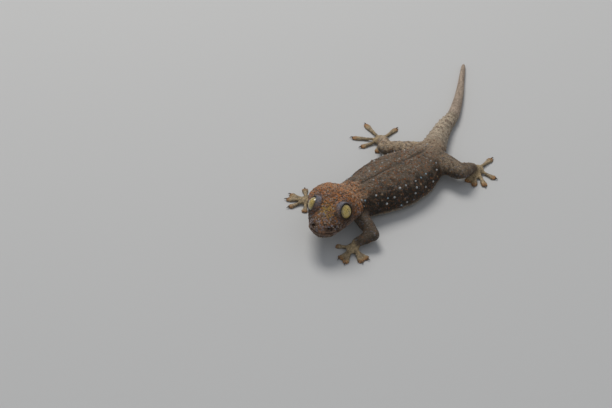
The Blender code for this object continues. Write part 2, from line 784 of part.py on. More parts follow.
def make_head(home, cutters):
    count = round(HEAD_LENGTH / HEAD_STEP)
    rings = []
    for k in range(count):
        forward = HEAD_LENGTH * math.sin(math.pi / 2 * k / count)
        rings.append(head_ring(forward, shift=GAP / MM / 2 if k == 0 else 0.0))
    pieces = [add_object("head", loft(rings), home)]
    pieces += [lip("lip_upper", LIP_RADIUS + 0.25, home), lip("lip_lower", -LIP_RADIUS - 0.1, home)]
    sockets, ears, nostrils = [], [], []
    for side in (1, -1):
        centre = head_place(EYE_FORWARD, side * EYE_SIDE, EYE_UP)
        pieces += eye_mound(side, home)
        grown = EYE_RADIUS + GAP / MM
        sockets.append(ball("socket", centre, (grown, grown, grown), cutters["home"], 18, 12))
        ear_side = half_width_at(EAR_FORWARD, EAR_UP) + 0.3
        ear = head_place(EAR_FORWARD, side * ear_side, EAR_UP)
        ears.append(ball("ear", ear, EAR_SIZE, cutters["home"], 12, 8, head_turn()))
        nose_side = half_width_at(NOSTRIL_FORWARD, NOSTRIL_UP)
        nose = head_place(NOSTRIL_FORWARD, side * nose_side, NOSTRIL_UP)
        nostrils.append(ball("nostril", nose, NOSTRIL_SIZE, cutters["home"], 10, 6, head_turn()))
    whole = fuse("head", pieces, home, sockets + ears + nostrils)
    jaw = bpy.data.objects.new("lower_jaw", whole.data.copy())
    home.objects.link(jaw)
    boolean(whole, "DIFFERENCE", jaw_prism("jaw_space_wide", GAP / MM, cutters["home"]))
    boolean(jaw, "INTERSECT", jaw_prism("jaw_space", 0.0, cutters["home"]))
    keep_largest(whole)
    keep_largest(jaw)
    for side, name in ((1, "eye_left"), (-1, "eye_right")):
        centre = head_place(EYE_FORWARD, side * EYE_SIDE, EYE_UP)
        look = eye_look(side)
        turn = look.to_track_quat("Z", "Y").to_matrix()
        ball(name, centre, (EYE_RADIUS,) * 3, home, 20, 12, turn)


def make_floor_cutter(home):
    bm = bmesh.new()
    bmesh.ops.create_cube(bm, size=1.0)
    bmesh.ops.scale(bm, vec=(400.0, 400.0, 20.0), verts=bm.verts)
    bmesh.ops.translate(bm, vec=(0, 0, -10.0), verts=bm.verts)
    return add_object("floor_space", bm, home)


def hide_cutters(home):
    for obj in home.objects:
        obj.hide_render = True
        obj.display_type = "WIRE"


def centre_on_floor(home):
    """Moves everything so that the origin is under the middle of the whole animal's box."""
    corners = [v.co for obj in home.objects for v in obj.data.vertices]
    low = Vector([min(c[k] for c in corners) for k in range(3)])
    high = Vector([max(c[k] for c in corners) for k in range(3)])
    shift = Vector((-(low.x + high.x) / 2, -(low.y + high.y) / 2, 0.0))
    for obj in home.objects:
        obj.data.transform(Matrix.Translation(shift))
    print("moved by", [round(v / MM, 3) for v in shift])


def dress(home):
    kinds = {"head": "head", "lower_jaw": "head", "neck": "head", "eye_left": "eye", "eye_right": "eye"}
    kinds.update({name: "limb" for names in LIMB_NODES.values() for name in names})
    kinds.update({"tail_base": "tail", "tail_regrown": "tail"})
    for obj in home.objects:
        obj.data.materials.clear()
        obj.data.materials.append(material(obj.name, kinds.get(obj.name, "body")))
        obj.data.shade_smooth()
        obj.data.set_sharp_from_angle(angle=math.radians(40))


def main():
    clear_scene()
    gecko = collection("tokay_gecko")
    tools = collection("cutters")
    cutters = {"home": tools, "floor": make_floor_cutter(tools)}
    body_length("tail_regrown", "tail_tip", "regrowth", gecko, step=0.42)
    trunk = [(body_length(name, first, last, gecko), first, last) for name, first, last in TRUNK_NODES]
    neck = add_object("neck", loft(neck_rings(gap=GAP / MM)), gecko)
    body = body_space([row[0] for row in trunk] + [neck], tools)
    draw = random.Random(7)
    for node, first, last in trunk:
        grow_tubercles(node, first, last, gecko, draw)
    make_head(gecko, cutters)
    for key in LIMBS:
        limb(key, gecko, cutters, body)
    hide_cutters(tools)
    centre_on_floor(gecko)
    dress(gecko)


main()
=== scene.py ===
import math

import bmesh
import bpy
import numpy as np
from mathutils import Matrix, Vector, noise
from mathutils.bvhtree import BVHTree
from mathutils.kdtree import KDTree


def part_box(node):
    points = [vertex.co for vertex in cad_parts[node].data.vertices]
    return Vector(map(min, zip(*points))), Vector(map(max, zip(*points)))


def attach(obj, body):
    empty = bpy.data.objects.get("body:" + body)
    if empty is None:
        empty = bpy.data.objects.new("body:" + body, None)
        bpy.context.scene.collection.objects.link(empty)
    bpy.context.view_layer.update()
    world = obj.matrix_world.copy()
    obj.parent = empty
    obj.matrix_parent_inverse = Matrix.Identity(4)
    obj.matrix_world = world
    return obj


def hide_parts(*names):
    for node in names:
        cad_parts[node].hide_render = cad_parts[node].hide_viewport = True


# Tokay gecko, life size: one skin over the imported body, with every scale, tubercle, claw and eye on it.
# Lengths in the dictionaries are millimetres unless a note says otherwise.
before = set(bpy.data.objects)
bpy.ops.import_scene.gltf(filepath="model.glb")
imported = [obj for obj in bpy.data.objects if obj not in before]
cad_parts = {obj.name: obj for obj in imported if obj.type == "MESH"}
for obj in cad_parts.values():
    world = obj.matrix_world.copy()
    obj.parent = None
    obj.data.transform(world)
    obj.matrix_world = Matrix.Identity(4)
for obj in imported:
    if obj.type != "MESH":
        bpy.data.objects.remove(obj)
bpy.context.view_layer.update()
mm = 0.001
draw = np.random.default_rng(24)

fleshNodes = sorted(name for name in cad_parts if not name.startswith("eye"))
limbNames = ("arm_left", "arm_right", "leg_left", "leg_right")
limbNodes = {
    "arm_left": ("upper_arm_left", "forearm_left", "hand_left"),
    "arm_right": ("upper_arm_right", "forearm_right", "hand_right"),
    "leg_left": ("thigh_left", "shin_left", "foot_left"),
    "leg_right": ("thigh_right", "shin_right", "foot_right"),
}

# how the body lies on the floor, measured from the back of the head
layout = {
    "occiput": (-3.4, -42.2, 10.6),
    "headYaw": 24.0, "headPitch": -1.0, "headRoll": 1.5,  # degrees
    "headLength": 37.0, "eyeForward": 19.6, "eyeUp": 13.0,
    "mouthCorner": 10.5, "earForward": 6.4, "earUp": 8.2,
    "nostrilForward": 33.8, "nostrilUp": 9.0,
    # midline from the tail tip to the neck: across, along, half width, height of the back
    "spine": [
        (-58.6, 146.6, 0.64, 1.75), (-55.9, 142.6, 1.62, 3.3), (-46.6, 129.5, 2.2, 4.2),
        (-36.6, 115.2, 2.9, 5.4), (-28.0, 101.5, 3.6, 6.6), (-21.4, 89.2, 4.3, 7.6),
        (-17.2, 76.0, 5.6, 9.4), (-11.6, 63.0, 6.8, 11.5), (-5.6, 51.0, 8.5, 14.0),
        (-0.4, 40.0, 11.5, 16.3), (2.4, 29.0, 15.7, 18.3), (2.4, 17.0, 20.0, 19.9),
        (1.4, 4.0, 21.7, 20.6), (0.1, -9.0, 20.2, 20.8), (-1.0, -20.0, 17.3, 20.9),
        (-1.8, -29.0, 14.7, 21.2), (-2.4, -36.0, 13.6, 22.2),
    ],
    # shoulder or hip, elbow or knee, wrist or ankle
    "limbs": {
        "arm_left": [(6.0, -35.6, 7.6), (28.0, -45.2, 7.4), (21.8, -56.0, 4.2)],
        "arm_right": [(-8.0, -34.0, 8.0), (-22.4, -28.6, 7.2), (-28.4, -40.6, 4.2)],
        "leg_left": [(6.0, 39.0, 8.6), (27.6, 37.4, 10.4), (25.2, 53.6, 4.4)],
        "leg_right": [(-7.0, 39.0, 8.2), (-25.6, 26.0, 8.2), (-37.0, 36.4, 4.2)],
    },
    # palm, then each toe's length and the way it points in degrees
    "feet": {
        "arm_left": ((22.6, -58.2), [(11.0, 203), (12.0, 270), (14.0, 293), (13.5, 338), (13.0, 359)]),
        "arm_right": ((-30.4, -43.2), [(11.0, 307), (12.5, 250), (13.0, 212), (13.0, 187), (13.5, 138)]),
        "leg_left": ((27.0, 56.0), [(14.0, 279), (16.5, 302), (17.0, 327), (14.0, 8), (17.5, 95)]),
        "leg_right": ((-39.6, 37.6), [(13.0, 300), (15.0, 249), (19.5, 211), (22.0, 160), (18.5, 96)]),
    },
}


def boxMiddle(node):
    low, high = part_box(node)
    return (low + high) / 2


def headFrame():
    # forward, left and up of the head, and the place where its length starts
    turn = Matrix.Rotation(math.radians(layout["headYaw"]), 3, "Z")
    turn = turn @ Matrix.Rotation(math.radians(layout["headPitch"]), 3, "X")
    turn = turn @ Matrix.Rotation(math.radians(layout["headRoll"]), 3, "Y")
    ahead, left, above = turn @ Vector((0, -1, 0)), turn @ Vector((1, 0, 0)), turn @ Vector((0, 0, 1))
    between = (boxMiddle("eye_left") + boxMiddle("eye_right")) / 2
    start = between - (ahead * layout["eyeForward"] + above * layout["eyeUp"]) * mm
    return ahead, left, above, start


headAhead, headLeft, headAbove, headStart = headFrame()
layoutShift = headStart - Vector(layout["occiput"]) * mm  # from the layout's origin to the frame's


def headPoint(forward, side, up):
    return headStart + (headAhead * forward + headLeft * side + headAbove * up) * mm


def place(point):
    # a layout point, in millimetres, in the frame
    x, y, z = (*point, 0.0)[:3]
    return Vector((x, y, z)) * mm + Vector((layoutShift.x, layoutShift.y, 0.0))


def heading(degrees):
    return Vector((math.cos(math.radians(degrees)), math.sin(math.radians(degrees)), 0.0))


def eyeLook(side):
    return (headLeft * side * 0.86 + headAhead * 0.30 + headAbove * 0.42).normalized()


def eyeFrame(side, sign):
    # an eye's centre, the way it looks, and the front and top of its opening
    look = eyeLook(sign)
    front = (headAhead - look * headAhead.dot(look)).normalized()
    top = (headAbove - look * headAbove.dot(look))
    top = (top - front * top.dot(front)).normalized()
    return boxMiddle("eye_" + side), look, front, top


eyes = {"left": eyeFrame("left", 1), "right": eyeFrame("right", -1)}


def catmullRom(rows, at):
    # a smooth read between rows of numbers
    rows = np.asarray(rows, float)
    i = np.clip(np.floor(at).astype(int), 0, len(rows) - 2)
    t = (at - i)[:, None]
    p1, p2 = rows[i], rows[i + 1]
    p0 = np.where((i > 0)[:, None], rows[np.maximum(i - 1, 0)], 2 * p1 - p2)
    p3 = np.where((i + 2 < len(rows))[:, None], rows[np.minimum(i + 2, len(rows) - 1)], 2 * p2 - p1)
    bend, twist = 2 * p0 - 5 * p1 + 4 * p2 - p3, 3 * p1 - p0 - 3 * p2 + p3
    return 0.5 * (2 * p1 + (p2 - p0) * t + bend * t ** 2 + twist * t ** 3)


def midline():
    # the midline from tail tip to snout in small steps: place and girth, way to the head, length so far
    rows = [(*(place((x, y))[:2]), 0.0, half * mm, top * mm) for x, y, half, top in layout["spine"]]
    route = catmullRom(rows, np.linspace(0, len(rows) - 1, 600))
    snout = headPoint(layout["headLength"], 0, 8)
    middle = headPoint(8, 0, 8)
    extra = [(*middle[:2], 0.0, 15.5 * mm, 25 * mm), (*snout[:2], 0.0, 8 * mm, 22 * mm)]
    for a, b in zip([route[-1], extra[0]], extra):
        steps = np.linspace(0, 1, 40)[1:, None]
        route = np.vstack([route, np.asarray(a) * (1 - steps) + np.asarray(b) * steps])
    ahead = np.gradient(route[:, :2], axis=0)
    ahead /= np.linalg.norm(ahead, axis=1)[:, None]
    step = np.linalg.norm(np.diff(route[:, :2], axis=0), axis=1)
    return route, ahead, np.concatenate([[0], np.cumsum(step)])


def pointTree(points):
    tree = KDTree(len(points))
    for number, point in enumerate(points):
        tree.insert(point, number)
    tree.balance()
    return tree


spineRoute, spineAhead, spineLength = midline()
spineTree = pointTree([(row[0], row[1], 0.0) for row in spineRoute])


def spineStation(index):
    # length along the midline at one of the layout's stations
    return spineLength[round(index * 599 / (len(layout["spine"]) - 1))]


stationRegrowth, stationVent, stationLoin, stationShoulder, stationNeck = (
    spineStation(k) for k in (5, 8, 10, 15, 16)
)


def bell(value, middle, spread):
    return np.exp(-(((value - middle) / spread) ** 2))


def ramp(value, start, end):
    t = np.clip((value - start) / (end - start), 0, 1)
    return t * t * (3 - 2 * t)


def cloud(points, size, seed=0.0, octaves=2):
    # smooth noise with a spread of about 1 and blobs of the given size
    scaled = points / (size * mm) + np.array([seed * 7.1, seed * 3.7, seed * 5.3])
    return np.array([noise.fractal(Vector(p), 0.9, 2.0, octaves) for p in scaled]) / 0.32


def headPlaces(points):
    # forward, side and up of points on the head, in millimetres
    offset = (points - np.array(headStart)) / mm
    return offset @ np.array(headAhead), offset @ np.array(headLeft), offset @ np.array(headAbove)


def mouthHeight(forward):
    t = (forward - layout["mouthCorner"]) / (layout["headLength"] - layout["mouthCorner"])
    return 5.6 + 3.6 * (t - 0.45) ** 2


def mouthShare(forward):
    return ramp(forward, layout["mouthCorner"] - 2.0, layout["mouthCorner"] + 1.0)


def eyePlaces(points, side):
    # how far points lie along an eye's axis, off it and from its centre, and their share of the crown's side
    centre, look, front, top = eyes[side]
    offset = (points - np.array(centre)) / mm
    along = offset @ np.array(look)
    off = offset - along[:, None] * np.array(look)
    around = np.degrees(np.arctan2(off @ np.array(top), off @ np.array(front)))
    crown = bell(around, 95, 62) + bell(around, -265, 62)
    return along, np.linalg.norm(off, axis=1), np.linalg.norm(offset, axis=1), crown


def pitDistance(points, forward, up, side, wide, high):
    # distance from an oval pit's centre on the head, as shares of its half sizes
    f, s, u = headPlaces(points)
    oval = ((f - forward) / wide) ** 2 + ((u - up) / high) ** 2
    return np.sqrt(oval) + np.where(s * side > 0, 0.0, 99.0)


def spinePlaces(points):
    # nearest place on the midline: its number, length there, and how far points lie to the left
    found = np.array([spineTree.find((p[0], p[1], 0.0))[1] for p in points])
    ahead = spineAhead[found]
    offset = points[:, :2] - spineRoute[found][:, :2]
    left = offset[:, 0] * -ahead[:, 1] + offset[:, 1] * ahead[:, 0]
    return found, spineLength[found], left


# camera, light and floor
shot = {
    "lens": 100.0, "sensor": 36.0,
    "azimuth": 43.63, "elevation": 38.0,  # degrees
    "distance": 1.07, "aim": (-0.0200, -0.0794, 0.0),  # metres
    "floor": (0.60, 0.61, 0.62), "sky": (0.77, 0.79, 0.82), "skyPower": 0.36,
    "keyFrom": (-0.80, 0.42, 1.25), "keyPower": 21.0, "keySize": 1.0, "keyTint": (1.0, 0.96, 0.90),
    "fillFrom": (0.9, -0.9, 1.0), "fillPower": 2.0, "fillSize": 1.6, "fillTint": (0.86, 0.92, 1.0),
    "lightAway": 1.9,
}


def areaLight(name, way, power, size, colour):
    light = bpy.data.lights.new(name, "AREA")
    light.shape, light.size, light.energy, light.color = "DISK", size, power, colour
    lamp = bpy.data.objects.new(name, light)
    lamp.location = Vector(way).normalized() * shot["lightAway"]
    lamp.rotation_euler = Vector(way).to_track_quat("Z", "Y").to_euler()
    bpy.context.scene.collection.objects.link(lamp)


def newObject(name, mesh):
    made = bpy.data.objects.new(name, mesh)
    bpy.context.scene.collection.objects.link(made)
    return made


def meshFrom(bm, name):
    mesh = bpy.data.meshes.new(name)
    bm.to_mesh(mesh)
    bm.free()
    return mesh


def makeStage():
    scene = bpy.context.scene
    azimuth, elevation = math.radians(shot["azimuth"]), math.radians(shot["elevation"])
    flat = math.cos(elevation)
    back = Vector((math.sin(azimuth) * flat, -math.cos(azimuth) * flat, math.sin(elevation)))
    camera = bpy.data.objects.new("camera", bpy.data.cameras.new("camera"))
    camera.data.lens, camera.data.sensor_width = shot["lens"], shot["sensor"]
    camera.data.clip_start, camera.data.clip_end = 0.02, 20.0
    camera.location = Vector(shot["aim"]) + back * shot["distance"]
    camera.rotation_euler = back.to_track_quat("Z", "Y").to_euler()
    scene.collection.objects.link(camera)
    scene.camera = camera
    sky = bpy.data.worlds.new("sky")
    sky.use_nodes = True
    sky.node_tree.nodes["Background"].inputs["Color"].default_value = (*shot["sky"], 1.0)
    sky.node_tree.nodes["Background"].inputs["Strength"].default_value = shot["skyPower"]
    scene.world = sky
    for name in ("key", "fill"):
        areaLight(name, shot[name + "From"], shot[name + "Power"], shot[name + "Size"], shot[name + "Tint"])
    bm = bmesh.new()
    bmesh.ops.create_circle(bm, cap_ends=True, segments=64, radius=6.0)
    floor = newObject("floor", meshFrom(bm, "floor"))
    paint = bpy.data.materials.new("floorPaint")
    paint.use_nodes = True
    shader = paint.node_tree.nodes["Principled BSDF"]
    shader.inputs["Base Color"].default_value = (*shot["floor"], 1.0)
    shader.inputs["Roughness"].default_value = 0.9
    floor.data.materials.append(paint)
    scene.view_settings.view_transform = "Standard"


makeStage()
print("stage, camera and lights placed")


def applied(obj):
    # the object with its modifiers worked into its mesh
    bpy.context.view_layer.update()
    graph = bpy.context.evaluated_depsgraph_get()
    mesh = bpy.data.meshes.new_from_object(obj.evaluated_get(graph))
    old = obj.data
    obj.modifiers.clear()
    obj.data = mesh
    bpy.data.meshes.remove(old)
    mesh.name = obj.name
    return obj


def readPoints(mesh):
    co = np.empty(len(mesh.vertices) * 3, np.float32)
    mesh.vertices.foreach_get("co", co)
    return co.reshape(-1, 3).astype(float)


def writePoints(mesh, co):
    mesh.vertices.foreach_set("co", np.ascontiguousarray(co, np.float32).ravel())
    mesh.update()


def readNormals(mesh):
    out = np.empty(len(mesh.vertices) * 3, np.float32)
    mesh.vertex_normals.foreach_get("vector", out)
    return out.reshape(-1, 3).astype(float)


def writeColours(mesh, name, colours):
    layer = mesh.color_attributes.new(name, "FLOAT_COLOR", "POINT")
    layer.data.foreach_set("color", np.c_[colours, np.ones(len(colours))].astype(np.float32).ravel())


# the skin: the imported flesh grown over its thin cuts, remeshed as one and smoothed
skinSettings = {
    "grow": 0.24, "voxel": 0.66, "socketFill": 5.2, "clawCut": 0.12,
    "smoothTrunk": 36, "smoothJoint": 12, "smoothHead": 6, "smoothFoot": 3,
    "coatDepth": 0.24, "maskSmooth": 8, "lowest": 0.26,
}


def onClaw(offset, way):
    # whether a point this far from a toe's end lies in the reach of its claw
    along = offset.dot(way)
    aside = offset - way * along
    return -1.6 * mm < along < 4.5 * mm and math.hypot(aside.x, aside.y) < 0.85 * mm and abs(aside.z) < 1.5 * mm


def cutClaws(bm, limb):
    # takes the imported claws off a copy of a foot: the ones that show are pieces of their own
    palm, toes = layout["feet"][limb]
    for length, degrees in toes[1:]:
        way = heading(degrees)
        tip = place((*palm, 1.0)) + way * (length + skinSettings["clawCut"]) * mm
        near = [f for f in bm.faces if onClaw(f.calc_center_median() - tip, way)]
        geometry = set(near) | {v for f in near for v in f.verts} | {e for f in near for e in f.edges}
        bmesh.ops.bisect_plane(bm, geom=list(geometry), dist=1e-7, plane_co=tip, plane_no=way)
        beyond = [v for v in bm.verts if onClaw(v.co - tip, way) and (v.co - tip).dot(way) > 1e-6]
        bmesh.ops.delete(bm, geom=beyond, context="VERTS")
        bmesh.ops.holes_fill(bm, edges=[e for e in bm.edges if e.is_boundary])


def joinFlesh():
    joined = bmesh.new()
    for name in fleshNodes:
        bm = bmesh.new()
        bm.from_mesh(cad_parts[name].data)
        bmesh.ops.remove_doubles(bm, verts=bm.verts, dist=0.002 * mm)
        for limb in limbNames:
            if name == limbNodes[limb][2]:
                cutClaws(bm, limb)
        bmesh.ops.recalc_face_normals(bm, faces=bm.faces)
        bm.normal_update()
        for vert in bm.verts:
            vert.co += vert.normal * skinSettings["grow"] * mm
        part = meshFrom(bm, "part")
        joined.from_mesh(part)
        bpy.data.meshes.remove(part)
    for centre, *_ in eyes.values():
        bmesh.ops.create_uvsphere(
            joined, u_segments=24, v_segments=16, radius=skinSettings["socketFill"] * mm,
            matrix=Matrix.Translation(centre),
        )
    return newObject("skin", meshFrom(joined, "skin"))


def keepLargest(bm):
    left, shells = set(bm.verts), []
    while left:
        queue = [left.pop()]
        shell = []
        while queue:
            vert = queue.pop()
            shell.append(vert)
            for edge in vert.link_edges:
                other = edge.other_vert(vert)
                if other in left:
                    left.discard(other)
                    queue.append(other)
        shells.append(shell)
    shells.sort(key=len)
    bmesh.ops.delete(bm, geom=[v for shell in shells[:-1] for v in shell], context="VERTS")


def refineFace(bm, narrow):
    # finer faces round the eyes, along the mouth and at the nostrils and ears
    middles = np.array([(e.verts[0].co + e.verts[1].co) / 2 for e in bm.edges])
    forward, side, up = headPlaces(middles)
    onHead = (forward > 2) & (forward < 40) & (np.abs(side) < 20) & (up > -2) & (up < 22)
    wide = 0.0 if narrow else 1.0
    chosen = (np.abs(up - mouthHeight(forward)) < 0.8 + wide) & (forward > 8)
    for sign in (1, -1):
        ear = pitDistance(middles, layout["earForward"], layout["earUp"], sign, 1.1, 1.9)
        nostril = pitDistance(middles, layout["nostrilForward"], layout["nostrilUp"], sign, 0.7, 0.7)
        chosen |= (ear < 1.5 + wide) | (nostril < 1.6 + 2 * wide)
    for name in eyes:
        along, off, far, crown = eyePlaces(middles, name)
        chosen |= (along > 0) & (off > 4.4 - wide) & (off < 8.4 + wide)
    edges = [edge for edge, take in zip(bm.edges, chosen & onHead) if take]
    bmesh.ops.subdivide_edges(bm, edges=edges, cuts=1, use_grid_fill=True)
    bmesh.ops.triangulate(bm, faces=[f for f in bm.faces if len(f.verts) > 4])


def nearestNodes(points):
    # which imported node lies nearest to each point
    corners, triangles, owner = [], [], []
    for number, name in enumerate(fleshNodes):
        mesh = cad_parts[name].data
        start = len(corners)
        corners += [v.co.copy() for v in mesh.vertices]
        for face in mesh.polygons:
            triangles.append([start + v for v in face.vertices])
            owner.append(number)
    tree = BVHTree.FromPolygons(corners, triangles)
    return np.array([owner[tree.find_nearest(p)[2]] for p in points])


class SkinShape:
    # the skin as arrays, with its edges for smoothing
    def __init__(self, mesh):
        self.mesh = mesh
        self.co = readPoints(mesh)
        edges = np.empty(len(mesh.edges) * 2, np.int32)
        mesh.edges.foreach_get("vertices", edges)
        self.edges = edges.reshape(-1, 2)
        self.count = np.bincount(self.edges.ravel(), minlength=len(self.co)).astype(float)

    def average(self, values):
        a, b = self.edges[:, 0], self.edges[:, 1]
        if values.ndim == 1:
            total = np.bincount(a, values[b], len(self.co)) + np.bincount(b, values[a], len(self.co))
            return total / self.count
        return np.stack([self.average(values[:, k]) for k in range(values.shape[1])], axis=1)

    def smoothed(self, values, rounds):
        for _ in range(rounds):
            values = 0.5 * values + 0.5 * self.average(values)
        return values

    def smoothShape(self, weight, rounds):
        for _ in range(rounds):
            self.co += (self.average(self.co) - self.co) * (0.5 * weight)[:, None]
        writePoints(self.mesh, self.co)

    def push(self, millimetres):
        self.co += readNormals(self.mesh) * (millimetres * mm)[:, None]
        writePoints(self.mesh, self.co)


def skinRegions(skin):
    # a share of each part of the body for every vertex, blurred over the joints
    nearest = nearestNodes(skin.co)
    names = {
        "head": ("head", "lower_jaw"), "neck": ("neck",), "trunk": ("chest", "torso", "hips"),
        "tail": ("tail_base",), "regrown": ("tail_regrown",),
    }
    for limb in limbNames:
        names[limb] = limbNodes[limb][:2]
        names[limb + "_foot"] = limbNodes[limb][2:]
    regions = {}
    for region, nodes in names.items():
        share = np.isin(nearest, [fleshNodes.index(n) for n in nodes]).astype(float)
        regions[region] = skin.smoothed(share, skinSettings["maskSmooth"])
    return regions


def makeSkin():
    skinObject = joinFlesh()
    remesh = skinObject.modifiers.new("remesh", "REMESH")
    remesh.mode, remesh.voxel_size = "VOXEL", skinSettings["voxel"] * mm
    applied(skinObject)
    bm = bmesh.new()
    bm.from_mesh(skinObject.data)
    keepLargest(bm)
    for narrow in (False, True):
        refineFace(bm, narrow)
    bm.to_mesh(skinObject.data)
    bm.free()
    skin = SkinShape(skinObject.data)
    regions = skinRegions(skin)
    isTrunk = np.clip(regions["trunk"] + regions["tail"] + regions["neck"] * 0.6, 0, 1)
    isFoot = sum(regions[limb + "_foot"] for limb in limbNames)
    isLimb = sum(regions[limb] for limb in limbNames)
    body = np.clip(isTrunk + isLimb * 0.4, 0, 1) * (1 - regions["head"])
    skin.smoothShape(body, skinSettings["smoothTrunk"])
    skin.smoothShape(np.clip(isLimb + regions["neck"], 0, 1), skinSettings["smoothJoint"])
    skin.smoothShape(np.clip(isFoot + regions["regrown"], 0, 1), skinSettings["smoothFoot"])
    skin.smoothShape(regions["head"], skinSettings["smoothHead"])
    return skinObject, skin, regions


skinObject, skin, regions = makeSkin()
print("skin remeshed:", len(skin.co), "vertices")

# creases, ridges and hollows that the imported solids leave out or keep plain
folds = {
    "mouthDepth": 0.62, "mouthWidth": 0.34, "nostrilDepth": 1.1, "earDepth": 1.5,
    "earWide": 1.15, "earHigh": 1.95, "nostrilWide": 0.62,
    "lidGroove": 0.36, "lidRidge": 0.42, "spineGroove": 0.42, "spineRidge": 0.26,
    "loose": 0.16, "limbLoose": 0.07, "whorl": 0.30, "whorlStep": 5.4, "sideFold": 0.45,
    "neckWrinkle": 0.16,
}


def pits(points):
    # each pit of the head's two sides, with the distance of the points from it
    for sign in (1, -1):
        yield "ear", pitDistance(
            points, layout["earForward"], layout["earUp"], sign, folds["earWide"], folds["earHigh"])
        yield "nostril", pitDistance(
            points, layout["nostrilForward"], layout["nostrilUp"], sign, folds["nostrilWide"],
            folds["nostrilWide"])


def foldSkin():
    forward, side, up = headPlaces(skin.co)
    onHead = regions["head"]
    move = np.zeros(len(skin.co))
    for name in eyes:
        along, off, far, crown = eyePlaces(skin.co, name)
        outside = (along > 0.3) * onHead * crown
        move -= outside * folds["lidGroove"] * (bell(off, 6.7, 0.45) + 0.7 * bell(off, 8.5, 0.5))
        move += outside * folds["lidRidge"] * bell(off, 7.6, 0.65)
    mouth = bell(up, mouthHeight(forward), folds["mouthWidth"]) * mouthShare(forward) * onHead
    move -= folds["mouthDepth"] * mouth
    move += 0.18 * onHead * mouthShare(forward) * bell(np.abs(up - mouthHeight(forward)), 1.1, 0.55)
    for kind, far in pits(skin.co):
        move += onHead * (0.2 * bell(far, 1.5, 0.4) - folds[kind + "Depth"] * np.exp(-far ** 4))
    index, length, left = spinePlaces(skin.co)
    height = skin.co[:, 2] / mm
    onTrunk = np.clip(regions["trunk"] + regions["tail"] * 0.5, 0, 1)
    high = ramp(height, 8.0, 14.0) * ramp(length, stationVent, stationLoin)
    wobble = 0.5 * np.sin(length / mm / 9.0) + 0.25 * np.sin(length / mm / 3.7)
    middle = np.abs(left / mm - wobble)
    move += onTrunk * high * folds["spineRidge"] * bell(middle, 2.6, 1.5)
    move -= onTrunk * high * folds["spineGroove"] * bell(middle, 0.0, 0.8)
    flank = regions["trunk"] * ramp(length, stationLoin - 4 * mm, stationLoin + 6 * mm)
    flank = flank * ramp(length, stationShoulder + 6 * mm, stationShoulder - 4 * mm)
    move += flank * folds["sideFold"] * (bell(height, 3.9, 0.9) - 0.6 * bell(height, 5.8, 1.0))
    move += cloud(skin.co, 5.5, 3.0) * (onTrunk + regions["neck"]) * folds["loose"]
    isLimb = sum(regions[limb] for limb in limbNames)
    move += cloud(skin.co, 3.0, 5.0) * isLimb * folds["limbLoose"]
    rings = np.cos((length / mm) * math.pi / folds["whorlStep"])
    move += folds["whorl"] * regions["tail"] * (np.abs(rings) - 0.5) * ramp(length, stationVent, stationVent - 8 * mm)
    wrinkle = np.sin(length / mm * 2 * math.pi / 3.1 + cloud(skin.co, 7.0, 6.0))
    move += folds["neckWrinkle"] * wrinkle * regions["neck"] * ramp(height, 20, 12)
    skin.push(move)
    skin.push(np.full(len(skin.co), -skinSettings["grow"] - skinSettings["coatDepth"]))
    skin.co[:, 2] = np.maximum(skin.co[:, 2], skinSettings["lowest"] * mm)
    writePoints(skin.mesh, skin.co)


foldSkin()
skinNormals = readNormals(skinObject.data)
skinTree = BVHTree.FromPolygons(
    [Vector(p) for p in skin.co], [tuple(f.vertices) for f in skinObject.data.polygons])
faceCorners = np.array([(tuple(f.vertices) + tuple(f.vertices)[:1])[:4] for f in skinObject.data.polygons])
faceStarts = np.array([f.loop_start for f in skinObject.data.polygons])
print("skin folded:", sum(len(f.vertices) - 2 for f in skinObject.data.polygons), "triangles")


def onSkin(points):
    # nearest skin point and face of each
    found = [skinTree.find_nearest(p) for p in points]
    return np.array([hit[0] for hit in found]).reshape(-1, 3), np.array([hit[2] for hit in found], int)


def faceMean(faces, values):
    # the skin's values at faces, as the mean of their corners
    return values[faceCorners[faces]].mean(axis=1)


# markings, with painted light and shade among them: one formula for the skin and for everything that grows on it
tone = {  # linear colours
    # the cheek tone is the dark of the painted shade on the lower sides of the head; it also serves for dark flecks on
    # the lips and round the eyes
    "crown": (0.285, 0.135, 0.060), "snout": (0.27, 0.150, 0.090), "cheek": (0.062, 0.036, 0.021),
    "nape": (0.52, 0.300, 0.160), "orange": (0.62, 0.215, 0.040), "lilac": (0.235, 0.235, 0.275),
    "yellow": (0.52, 0.35, 0.08), "cream": (0.52, 0.42, 0.31), "throat": (0.30, 0.25, 0.19),
    "back": (0.120, 0.085, 0.055), "ridge": (0.190, 0.148, 0.104), "flank": (0.026, 0.019, 0.011),
    "rump": (0.42, 0.315, 0.215), "rust": (0.30, 0.115, 0.034), "belly": (0.40, 0.35, 0.27),
    # the pale limb top tone is painted light, and the dark limb tone serves both for mottling and for painted shade
    "limb": (0.24, 0.175, 0.115), "limbLitTop": (0.56, 0.430, 0.290), "limbMottleAndShade": (0.052, 0.038, 0.025),
    "foot": (0.45, 0.340, 0.195), "toeTip": (0.42, 0.20, 0.07), "web": (0.12, 0.095, 0.070),
    "tail": (0.56, 0.46, 0.34), "regrown": (0.485, 0.382, 0.295), "streak": (0.20, 0.135, 0.10),
    "dark": (0.018, 0.013, 0.010), "pale": (0.46, 0.40, 0.33), "lip": (0.25, 0.155, 0.105),
}


def blend(colours, name, share):
    share = np.clip(share, 0, 1)[:, None]
    return colours * (1 - share) + np.array(tone[name]) * share


def toePlaces(points, limb):
    # share of each point's place along the toe nearest to it, 0 at the palm and 1 at its end
    palm, toes = layout["feet"][limb]
    start = np.array(place((*palm, 1.0)))
    best, share = np.full(len(points), 99.0), np.zeros(len(points))
    for length, degrees in toes:
        way = np.array(heading(degrees))
        t = np.clip((points - start) @ way / (length * mm), 0, 1)
        far = np.linalg.norm(points - start - t[:, None] * way * length * mm, axis=1) / mm
        share = np.where(far < best, t, share)
        best = np.minimum(far, best)
    return share


